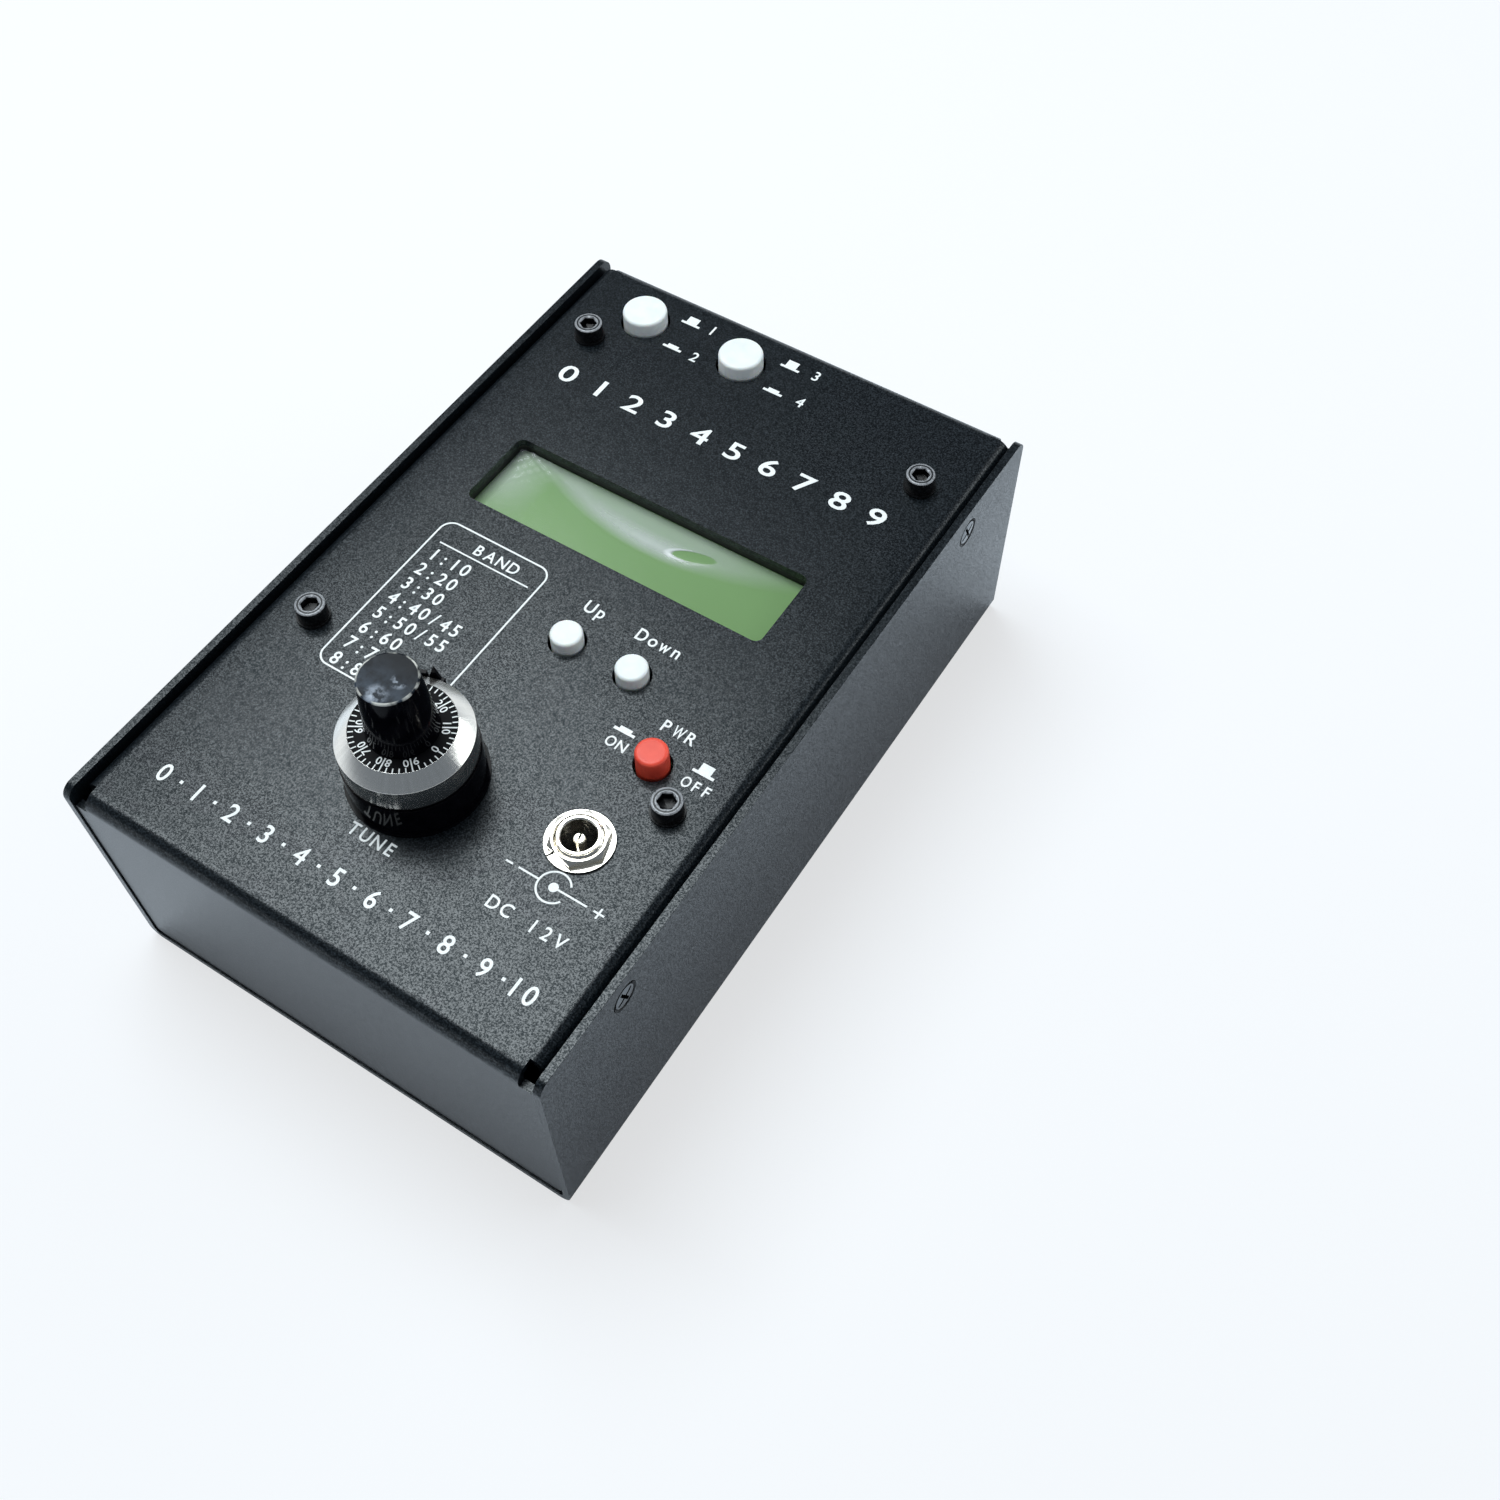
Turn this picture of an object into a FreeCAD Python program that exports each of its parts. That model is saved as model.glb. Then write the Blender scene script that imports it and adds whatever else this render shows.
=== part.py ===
import FreeCAD
import Part
import math
import os
import re
import Sketcher

# Hand-held antenna analyzer in a folded sheet-metal case.
# Frame: +X to the right across the panel, +Y towards the antenna jack, +Z up.
# Origin: centre of the case's base face. Millimetres and degrees.

DOC = FreeCAD.newDocument("antenna_analyzer")
Vec = FreeCAD.Vector

# ---------------------------------------------------------------- driving sizes

SIZES = [
    # case: a U-shaped tray, and a cover whose edges are folded down on all four sides
    ("case_width", 98, "outside of the tray's side plates"),
    ("case_length", 155, "length of the tray"),
    ("case_height", 51, "top edge of the side plates above the base"),
    ("tray_sheet", 1.5, "tray sheet thickness"),
    ("cover_sheet", 1.5, "cover sheet thickness"),
    ("bend_radius", 1.2, "inside radius of every bend"),
    ("plate_corner", 2.5, "rounding of the side plates' top corners"),
    ("panel_drop", 0.5, "panel below the side plates' top edge"),
    ("side_gap", 0.3, "cover to side plate"),
    ("end_inset", 0.3, "end wall behind the tray's ends"),
    ("end_lift", 0.5, "end wall's lower edge above the base sheet"),
    ("end_corner", 2.0, "rounding of the end walls' lower corners"),
    ("flange_depth", 12, "side flange below the panel's face"),
    ("flange_setback", 3.6, "side flange short of the near end wall"),
    ("flange_far_setback", 1.9, "side flange short of the far end wall"),
    ("corner_relief", 0.5, "corner notch below the bends"),
    # side screws: countersunk, into press nuts on the cover's flanges
    ("thread_dia", 3.0, "M3 thread, drawn as a plain cylinder"),
    ("hole_play", 0.1, "radial clearance of a screw in its hole"),
    ("side_screw_inset", 21.5, "side screw from the case's nearer end"),
    ("side_screw_drop", 5.8, "side screw below the plates' top edge"),
    ("side_head_dia", 6.0, "countersunk head"),
    ("side_screw_length", 6.0, "overall length of a countersunk screw"),
    ("press_nut_dia", 5.2, "press nut outside diameter"),
    ("press_nut_depth", 2.2, "press nut thickness"),
    ("cross_width", 3.3, "cross recess across its arms"),
    ("cross_slot", 0.75, "width of a cross recess's arm"),
    ("cross_depth", 1.1, "depth of a cross recess"),
    # panel screws: socket cap screws that hold the board's standoffs
    ("panel_screw_inset", 11.25, "panel screw from the case's side"),
    ("panel_screw_far", 9.5, "far pair of panel screws, nearer than the band buttons"),
    ("panel_screw_near", 4.4, "near pair of panel screws from the board's near edge"),
    ("cap_head_dia", 5.5, "socket cap head"),
    ("cap_head_height", 3.0, "socket cap head height"),
    ("cap_head_round", 0.3, "rounding of a socket cap head's top edge"),
    ("cap_screw_grip", 8.0, "length under the head of a panel screw"),
    ("hex_socket", 2.5, "hexagon socket across flats"),
    ("hex_socket_depth", 1.6, "hexagon socket depth"),
    ("washer_dia", 6.2, "panel washer outside diameter"),
    ("washer_sheet", 0.5, "panel washer thickness"),
    ("standoff_flats", 5.5, "hexagon standoff across flats"),
    ("standoff_length", 15.0, "panel's underside to the main board"),
    ("pan_head_dia", 5.5, "pan head of an M3 screw"),
    ("pan_head_height", 1.9, "pan head height of an M3 screw"),
    ("pan_crown_drop", 0.85, "pan head's sloped rim, downwards"),
    ("pan_crown_reach", 1.05, "pan head's sloped rim, inwards"),
    ("board_screw_grip", 8.0, "length under the head of a board screw"),
    # main board and what stands on it
    ("board_thickness", 1.6, "main board thickness"),
    ("board_margin", 4.25, "main board's side beyond the panel screws"),
    ("board_pot_gap", 0.7, "main board's near edge to the potentiometer"),
    ("board_far_margin", 6.3, "main board's far edge beyond the band buttons"),
    ("chip_height", 1.8, "flat chip package height"),
    ("chip_width", 10.0, "flat chip package, across"),
    ("chip_length", 7.5, "flat chip package, along the case"),
    ("chip_spacing", 19.0, "from one chip to the next"),
    ("capacitor_radius", 4.0, "capacitor can"),
    ("capacitor_height", 10.5, "capacitor can height"),
    ("capacitor_across", 19.0, "middle capacitor, left of the centre line"),
    ("capacitor_spacing", 10.0, "from one capacitor to the next"),
    ("capacitor_offset", 3.3, "row of capacitors beyond the power button"),
    ("core_outer", 6.0, "ring core, outside radius"),
    ("core_inner", 2.8, "ring core, inside radius"),
    ("core_height", 3.4, "ring core with its winding"),
    ("core_round", 1.0, "rounding of a ring core's winding"),
    ("core_spacing", 15.0, "from one ring core to the next"),
    ("core_offset", 7.2, "row of ring cores, nearer than the far panel screws"),
    ("regulator_across", 18.5, "regulator, left of the power button"),
    ("regulator_offset", 6.2, "regulator, nearer than the power button"),
    ("regulator_width", 10.0, "regulator package width"),
    ("regulator_depth", 4.4, "regulator package depth"),
    ("regulator_height", 12.0, "regulator package height over the board"),
    ("sink_width", 16.0, "heat sink width"),
    ("sink_depth", 8.0, "heat sink depth"),
    ("sink_wall", 1.4, "heat sink wall"),
    ("sink_height", 13.0, "heat sink height"),
    ("can_width", 60.0, "shield can under the board, across"),
    ("can_length", 34.0, "shield can, along the case"),
    ("can_depth", 9.0, "shield can depth"),
    ("can_wall", 0.5, "shield can wall"),
    ("can_offset", 13.7, "shield can's centre, nearer than the far panel screws"),
    # display module
    ("window_width", 64.5, "window in the panel"),
    ("window_length", 17.2, "window in the panel, along the case"),
    ("window_corner", 1.5, "window corner radius"),
    ("display_shift", 0.35, "display's centre, left of the centre line"),
    ("display_gap", 8.0, "display board's near edge beyond the up and down buttons"),
    ("display_border_across", 4.3, "display board's side beyond its bezel"),
    ("display_border_along", 5.3, "display board's end beyond its bezel"),
    ("display_board_thickness", 1.6, "display board thickness"),
    ("display_hole_inset", 2.5, "display board's holes from its edges"),
    ("display_thread", 2.5, "M2.5 thread, drawn as a plain cylinder"),
    ("spacer_dia", 5.0, "display spacer"),
    ("spacer_length", 6.0, "main board to display board"),
    ("display_screw_head", 4.5, "display screw head"),
    ("display_screw_head_height", 1.5, "display screw head height"),
    ("display_screw_grip", 6.0, "length under the head of a display screw"),
    ("bezel_border_across", 3.45, "bezel's side beyond the window"),
    ("bezel_border_along", 4.1, "bezel's end beyond the window"),
    ("bezel_wall", 0.8, "display bezel's side wall"),
    ("bezel_gap", 0.2, "bezel to the panel's underside"),
    ("bezel_reveal", 0.3, "bezel's opening outside the panel's window"),
    ("glass_depth", 3.4, "glass below the panel's face"),
    ("glass_thickness", 2.2, "display glass"),
    ("glass_play", 0.2, "glass to the bezel's walls"),
    ("film_thickness", 0.15, "protective film on the glass"),
    ("film_play", 0.15, "film to the bezel's opening"),
    ("header_width", 2.5, "pin header"),
    ("header_length", 40.6, "pin header, sixteen ways"),
    ("header_inset", 2.4, "pin header from the display board's near edge"),
    # push buttons
    ("button_play", 0.5, "cap to its hole in the panel"),
    ("plunger_play", 0.06, "plunger in its switch"),
    ("band_across", 18.3, "left band button from the case's left side"),
    ("range_across", 22.8, "right band button from the left one"),
    ("band_inset", 11.3, "band buttons from the case's far end"),
    ("band_cap_radius", 4.5, "band button cap"),
    ("band_proud", 2.9, "band button above the panel"),
    ("power_across", 18.5, "power button from the case's right side"),
    ("power_offset", 6.3, "power button beyond the near panel screws"),
    ("power_cap_radius", 2.95, "power button cap"),
    ("power_proud", 4.1, "power button above the panel"),
    ("cap_round", 0.6, "rounding of a cap's top edge"),
    ("cap_roof", 2.0, "cap's top above its plunger's end"),
    ("latch_travel", 2.5, "full travel of a latching button"),
    ("latch_body", 8.5, "latching switch, square"),
    ("latch_height", 9.0, "latching switch above the board"),
    ("latch_floor", 0.8, "floor of a latching switch"),
    ("plunger_radius", 2.0, "plunger of a latching switch"),
    ("spring_length", 4.6, "plunger spring at rest"),
    ("spring_radius", 1.5, "plunger spring, middle of its wire"),
    ("spring_wire", 0.5, "plunger spring wire diameter"),
    ("spring_turns", 3, "turns of a plunger spring"),
    ("down_across", 31.8, "down button from the case's right side"),
    ("up_across", 13.8, "up button, left of the down button"),
    ("step_offset", 13.2, "up and down buttons beyond the power button"),
    ("step_cap_radius", 3.0, "up and down caps"),
    ("step_proud", 2.5, "up and down caps above the panel"),
    ("step_travel", 0.4, "travel of an up or down button"),
    ("step_body", 6.0, "up or down switch, square"),
    ("step_height", 4.3, "up or down switch above the board"),
    ("step_stem_radius", 1.75, "stem of an up or down button"),
    ("step_stem_depth", 1.2, "stem inside its switch at rest"),
    # tuning control: ten-turn potentiometer with a turns-counting dial
    ("dial_across", 1.2, "dial's axis, left of the centre line"),
    ("dial_inset", 34.2, "dial's axis from the case's near end"),
    ("pot_radius", 11.1, "potentiometer body"),
    ("pot_length", 20.0, "potentiometer body below the panel"),
    ("bush_radius", 4.76, "threaded bush"),
    ("bush_proud", 0.8, "bush above its nut"),
    ("pot_nut_flats", 12.7, "bush nut across flats"),
    ("pot_nut_height", 2.4, "bush nut"),
    ("shaft_radius", 3.175, "potentiometer shaft"),
    ("shaft_play", 0.05, "shaft in its bush"),
    ("shaft_root", 3.0, "shaft below the bush"),
    ("shaft_top", 22.5, "shaft's end above the panel"),
    ("dial_base_radius", 11.65, "fixed base of the dial"),
    ("dial_base_height", 7.2, "fixed base above the panel"),
    ("dial_base_wall", 1.7, "wall of the fixed base"),
    ("dial_floor", 1.5, "floor of the fixed base"),
    ("base_lip", 0.5, "lip around the base's foot, outwards"),
    ("base_lip_height", 0.6, "lip around the base's foot, upwards"),
    ("dial_gap", 0.3, "fixed base to turning ring"),
    ("ring_inset", 0.25, "turning ring inside the fixed base's outline"),
    ("ring_shoulder", 12.2, "ring's shoulder above the panel"),
    ("ring_top", 14.3, "ring's top edge above the panel"),
    ("ring_bevel", 2.55, "ring's bevelled edge, inwards"),
    ("scale_drop", 0.2, "scale disc below the ring's top edge"),
    ("scale_thickness", 0.7, "scale disc thickness"),
    ("ring_ledge", 0.45, "ring's ledge under the scale disc"),
    ("knob_skirt_lift", 1.2, "knob's skirt above the ring's lower edge"),
    ("knob_foot_radius", 6.1, "knob where it meets the scale"),
    ("knob_head_radius", 4.95, "knob under its top edge"),
    ("knob_chamfer", 0.35, "knob's top edge"),
    ("knob_top", 27.4, "knob above the panel"),
    ("knob_hub_drop", 0.6, "knob's hub below the skirt"),
    ("knob_hub_wall", 2.0, "wall of the knob's hub"),
    ("grub_radius", 1.25, "grub screw"),
    ("grub_length", 4.0, "grub screw length"),
    ("grub_socket", 1.3, "grub screw's hexagon socket across flats"),
    ("grub_socket_depth", 1.2, "grub screw's hexagon socket depth"),
    ("grub_lift", 3.2, "grub screw above the ring's lower edge"),
    ("collar_gap", 0.4, "turning ring to the index collar behind it"),
    ("collar_wall", 0.7, "wall of the index collar"),
    ("collar_start", 98, "index collar's first angle"),
    ("collar_sweep", 25, "index collar's angle"),
    ("collar_height", 11.5, "index collar above the panel"),
    ("index_angle", 105.5, "index pointer's angle"),
    ("index_width", 2.1, "index pointer's foot"),
    ("index_height", 2.7, "index pointer above the collar"),
    ("index_edge", 0.1, "width of the index pointer's upper edge"),
    ("index_inset", 0.1, "index pointer inside the collar's faces"),
    ("lug_angle", 112, "brake lug's first angle"),
    ("lug_sweep", 8, "brake lug's angle"),
    ("lug_height", 1.1, "brake lug above the collar"),
    # power inlet in the panel
    ("inlet_across", 20.0, "inlet from the case's right side"),
    ("inlet_offset", 3.9, "inlet beyond the dial's axis"),
    ("inlet_thread_radius", 4.0, "M8 barrel"),
    ("inlet_bore_radius", 3.0, "plug's bore"),
    ("inlet_proud", 2.4, "barrel above the panel"),
    ("inlet_plug_depth", 9.5, "depth of the plug's bore"),
    ("inlet_seat_radius", 6.0, "barrel's shoulder under the panel"),
    ("inlet_seat_height", 1.8, "barrel's shoulder height"),
    ("inlet_pin_radius", 1.05, "centre pin"),
    ("inlet_pin_drop", 1.0, "centre pin below the barrel's rim"),
    ("inlet_root_radius", 0.8, "centre pin's thinner root"),
    ("inlet_root", 0.5, "centre pin's thinner root above its insulator"),
    ("inlet_pin_tail", 3.0, "centre pin below its insulator"),
    ("inlet_insulator", 3.0, "insulator thickness"),
    ("inlet_nut_flats", 9.4, "barrel nut across flats"),
    ("inlet_nut_height", 1.3, "barrel nut"),
    ("inlet_nut_turn", 47.5, "barrel nut's turned angle"),
    ("inlet_washer_radius", 5.95, "lock washer"),
    ("inlet_washer_sheet", 0.5, "lock washer thickness"),
    ("washer_slit", 0.25, "slit in the lock washer"),
    ("washer_slit_turn", 239.5, "angle of the lock washer's slit"),
    # antenna jack in the far end wall
    ("antenna_level", 21.5, "antenna jack's axis above the base"),
    ("antenna_flange", 25.4, "square flange"),
    ("antenna_flange_sheet", 2.0, "flange thickness"),
    ("antenna_flange_corner", 2.0, "rounding of the flange's corners"),
    ("antenna_hole_spacing", 18.26, "flange hole spacing"),
    ("antenna_thread_radius", 7.94, "5/8 inch coupling thread"),
    ("antenna_neck_radius", 7.3, "neck behind the thread"),
    ("antenna_neck", 2.8, "neck length"),
    ("antenna_reach", 17.5, "jack's front from the end wall"),
    ("antenna_mouth_radius", 4.06, "outer contact's bore"),
    ("antenna_mouth_depth", 9.0, "outer contact's depth"),
    ("antenna_core_radius", 3.5, "insulator"),
    ("antenna_hub_radius", 5.5, "hub through the wall"),
    ("antenna_hub_tail", 1.5, "hub inside the wall"),
    ("antenna_core_tail", 4.5, "insulator inside the wall"),
    ("antenna_pin_radius", 1.5, "centre contact"),
    ("antenna_pin_bore", 0.83, "centre contact's socket"),
    ("antenna_pin_socket", 8.0, "socket depth"),
    ("antenna_pin_drop", 1.5, "centre contact behind the jack's front"),
    ("antenna_pin_tail", 7.0, "centre contact inside the wall"),
    ("antenna_nut_height", 2.4, "M3 nut"),
    ("antenna_nut_flats", 5.5, "M3 nut across flats"),
    ("antenna_screw_tail", 0.6, "screw beyond its nut"),
    ("lead_radius", 0.8, "lead from jack to board"),
    ("lead_run", 1.5, "lead's first straight run"),
    ("lead_bend", 2.5, "lead's bend radius"),
]

SHEET = DOC.addObject("Spreadsheet::Sheet", "Sizes")
for row, (alias, value, meaning) in enumerate(SIZES, start=1):
    SHEET.set(f"A{row}", alias)
    SHEET.set(f"B{row}", str(value))
    SHEET.set(f"C{row}", meaning)
    SHEET.setAlias(f"B{row}", alias)
DOC.recompute()

NAMES = {alias for alias, value, meaning in SIZES}


def bound(text):
    """An expression on the sheet: each size's name gets the sheet's name in front."""
    return re.sub(r"[a-z_]+", lambda m: f"Sizes.{m.group()}" if m.group() in NAMES else m.group(), text)


def number(text):
    """What an expression is worth now, in millimetres or degrees."""
    result = SHEET.evalExpression(bound(text))
    return float(getattr(result, "Value", result))


# ---------------------------------------------------------------- levels that pieces share

PANEL_TOP = "(case_height - panel_drop)"
PANEL_UNDER = f"({PANEL_TOP} - cover_sheet)"
BOARD_TOP = f"({PANEL_UNDER} - standoff_length)"
BOARD_UNDER = f"({BOARD_TOP} - board_thickness)"
COVER_SIDE = "(case_width / 2 - tray_sheet - side_gap)"
COVER_END = "(case_length / 2 - end_inset)"
SIDE_SCREW_LEVEL = "(case_height - side_screw_drop)"
SIDE_HEAD_DEPTH = "((side_head_dia - thread_dia) / 2)"
THREAD = "(thread_dia / 2)"
SCREW_HOLE = "(thread_dia / 2 + hole_play)"
DISPLAY_UNDER = f"({BOARD_TOP} + spacer_length)"
DISPLAY_TOP = f"({DISPLAY_UNDER} + display_board_thickness)"
GLASS_TOP = f"({PANEL_TOP} - glass_depth)"
GLASS_UNDER = f"({GLASS_TOP} - glass_thickness)"
BEZEL_TOP = f"({PANEL_UNDER} - bezel_gap)"
LATCH_TOP = f"({BOARD_TOP} + latch_height)"
STEP_TOP = f"({BOARD_TOP} + step_height)"
RING_RADIUS = "(dial_base_radius - ring_inset)"
SCALE_RADIUS = f"({RING_RADIUS} - ring_bevel)"
SKIRT_RADIUS = f"({SCALE_RADIUS} - ring_ledge)"
COLLAR_INNER = f"({RING_RADIUS} + collar_gap)"
COLLAR_OUTER = f"({COLLAR_INNER} + collar_wall)"
RING_LOW = f"({PANEL_TOP} + dial_base_height + dial_gap)"
SCALE_TOP = f"({PANEL_TOP} + ring_top - scale_drop)"
SCALE_LOW = f"({SCALE_TOP} - scale_thickness)"
SKIRT_LOW = f"({RING_LOW} + knob_skirt_lift)"
INLET_RIM = f"({PANEL_TOP} + inlet_proud)"
INLET_SEAT = f"({INLET_RIM} - inlet_plug_depth)"
INLET_TAIL = f"({INLET_SEAT} - inlet_insulator)"
NUT_CORNER = 2 / math.sqrt(3)  # a hexagon across its corners, over its flats

# places along the case, from the near end to the display and from the far end to the board
DIAL_LINE = "(dial_inset - case_length / 2)"
BOARD_NEAR = f"({DIAL_LINE} + pot_radius + board_pot_gap)"
NEAR_SCREW_LINE = f"({BOARD_NEAR} + panel_screw_near)"
POWER_LINE = f"({NEAR_SCREW_LINE} + power_offset)"
STEP_LINE = f"({POWER_LINE} + step_offset)"
BEZEL_WIDTH = "(window_width + 2 * bezel_border_across)"
BEZEL_LENGTH = "(window_length + 2 * bezel_border_along)"
DISPLAY_WIDTH = f"({BEZEL_WIDTH} + 2 * display_border_across)"
DISPLAY_LENGTH = f"({BEZEL_LENGTH} + 2 * display_border_along)"
DISPLAY_LINE = f"({STEP_LINE} + display_gap + {DISPLAY_LENGTH} / 2)"
BAND_LINE = "(case_length / 2 - band_inset)"
FAR_SCREW_LINE = f"({BAND_LINE} - panel_screw_far)"
BOARD_FAR = f"({BAND_LINE} + board_far_margin)"

# places across the case
SCREW_ACROSS = "(case_width / 2 - panel_screw_inset)"
BOARD_SIDE = f"({SCREW_ACROSS} + board_margin)"
BAND_ACROSS = "(band_across - case_width / 2)"
RANGE_ACROSS = f"({BAND_ACROSS} + range_across)"
POWER_ACROSS = "(case_width / 2 - power_across)"
DOWN_ACROSS = "(case_width / 2 - down_across)"
UP_ACROSS = f"({DOWN_ACROSS} - up_across)"

PANEL_SCREWS = [
    (f"{side} * {SCREW_ACROSS}", line)
    for side in ("-1", "1")
    for line in (FAR_SCREW_LINE, NEAR_SCREW_LINE)
]
DISPLAY_SCREWS = [
    (f"{side} * ({DISPLAY_WIDTH} / 2 - display_hole_inset) - display_shift",
     f"{DISPLAY_LINE} + {end} * ({DISPLAY_LENGTH} / 2 - display_hole_inset)")
    for side in ("-1", "1")
    for end in ("-1", "1")
]
CORNERS = [("-1", "-1"), ("-1", "1"), ("1", "-1"), ("1", "1")]
THREE_IN_A_ROW = ("-1", "0", "1")
FOUR_IN_A_ROW = ("-3/2", "-1/2", "1/2", "3/2")
DIAL_AT = ("-dial_across", DIAL_LINE)
INLET_AT = ("(case_width / 2 - inlet_across)", f"({DIAL_LINE} + inlet_offset)")
LATCHING = {
    "band": (BAND_ACROSS, BAND_LINE, "band_cap_radius", "band_proud"),
    "range": (RANGE_ACROSS, BAND_LINE, "band_cap_radius", "band_proud"),
    "power": (POWER_ACROSS, POWER_LINE, "power_cap_radius", "power_proud"),
}
STEPPING = {
    "up": (UP_ACROSS, STEP_LINE),
    "down": (DOWN_ACROSS, STEP_LINE),
}

SUBPARTS = {}
TO_RIGHT = (Vec(0, 1, 0), 90)   # turns a piece's +Z to +X
TO_LEFT = (Vec(0, 1, 0), -90)   # turns a piece's +Z to -X
TO_FAR = (Vec(1, 0, 0), -90)    # turns a piece's +Z to +Y
DOWNWARDS = (Vec(1, 0, 0), 180)  # turns a piece's +Z to -Z
UPRIGHT = (Vec(1, 0, 0), 90)    # stands a flat section up, across the line along Y
SAME_PLACE = 0.01  # two coordinates closer than this count as one


# ---------------------------------------------------------------- placing and collecting

def place(item, at, turn=None):
    """Put an object where three expressions say, turned about an axis by an angle."""
    axis, angle = turn or (Vec(0, 0, 1), 0)
    item.Placement = FreeCAD.Placement(Vec(0, 0, 0), FreeCAD.Rotation(axis, angle))
    for letter, text in zip("xyz", at):
        item.setExpression(f"Placement.Base.{letter}", bound(text))
    return item


def keep(name, item):
    """Count an object as a finished sub-part under its own name."""
    item.Label = name
    SUBPARTS[name] = item
    return item


def scratch(kind, name):
    """A construction object: a tool or a blank that a sub-part is made from."""
    return DOC.addObject(kind, name + "_blank")


def cylinder(name, radius, height, at, turn=None):
    item = scratch("Part::Cylinder", name)
    item.setExpression("Radius", bound(radius))
    item.setExpression("Height", bound(height))
    return place(item, at, turn)


def box(name, width, length, height, at):
    """A block centred on at in X and Y, standing on at's level."""
    item = scratch("Part::Box", name)
    item.setExpression("Length", bound(width))
    item.setExpression("Width", bound(length))
    item.setExpression("Height", bound(height))
    return place(item, (f"{at[0]} - ({width}) / 2", f"{at[1]} - ({length}) / 2", at[2]))


def hexagon(name, flats, height, at, turn=None):
    item = scratch("Part::Prism", name)
    item.Polygon = 6
    item.setExpression("Circumradius", bound(f"{flats} / 2 * {NUT_CORNER:.9f}"))
    item.setExpression("Height", bound(height))
    return place(item, at, turn)


def cut(name, base, tools):
    item = scratch("Part::Cut", name)
    item.Base = base
    item.Tool = tools[0] if len(tools) == 1 else fuse(name + "_tools", tools)
    return item


def fuse(name, shapes):
    item = scratch("Part::MultiFuse", name)
    item.Shapes = shapes
    return item


def group(name, members):
    """Separate solids that share one sub-part, such as four identical screws."""
    item = scratch("Part::Compound", name)
    item.Links = members
    return item


# ---------------------------------------------------------------- sketches held by the sheet

class Shop:
    """A PartDesign body and the features that are made in it."""

    def __init__(self, name, at=("0", "0", "0"), turn=None):
        self.name = name
        self.body = DOC.addObject("PartDesign::Body", name + "_body")
        self.body.AllowCompound = True
        place(self.body, at, turn)

    def sketch(self, plane="XY_Plane", level="0"):
        support = [item for item in self.body.Origin.OriginFeatures if item.Role == plane][0]
        made = self.body.newObject("Sketcher::SketchObject", self.name + "_sketch")
        made.AttachmentSupport = [(support, "")]
        made.MapMode = "FlatFace"
        made.setExpression("AttachmentOffset.Base.z", bound(level))
        return made

    def feature(self, kind, sketch, **settings):
        DOC.recompute()
        made = self.body.newObject(kind, self.name + "_feature")
        if sketch is not None:
            made.Profile = sketch
            sketch.Visibility = False
        for key, value in settings.items():
            if isinstance(value, str) and key in ("Length", "Radius", "Angle"):
                made.setExpression(key, bound(value))
            else:
                setattr(made, key, value)
        self.body.Tip = made
        DOC.recompute()
        return made

    def pad(self, sketch, length, both=False, back=False):
        side = "Symmetric" if both else "One side"
        return self.feature("PartDesign::Pad", sketch, Length=length, SideType=side, Reversed=back)

    def pocket(self, sketch, depth, both=False, back=False):
        side = "Symmetric" if both else "One side"
        return self.feature("PartDesign::Pocket", sketch, Length=depth, SideType=side, Reversed=back)

    def revolve(self, sketch):
        return self.feature("PartDesign::Revolution", sketch, ReferenceAxis=(sketch, ["V_Axis"]), Angle=360)

    def fillet(self, chosen, radius):
        """Round the edges that a test picks from the body so far."""
        base = self.body.Tip
        names = [f"Edge{n}" for n, edge in enumerate(base.Shape.Edges, start=1) if chosen(edge)]
        return self.feature("PartDesign::Fillet", None, Base=(base, names), Radius=radius)


def hold(sketch, kind, places, text):
    """One driving dimension, measured from the sketch's origin and bound to the sheet."""
    index = sketch.addConstraint(Sketcher.Constraint(kind, *places, number(text)))
    sketch.setExpression(f"Constraints[{index}]", bound(text))


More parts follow.
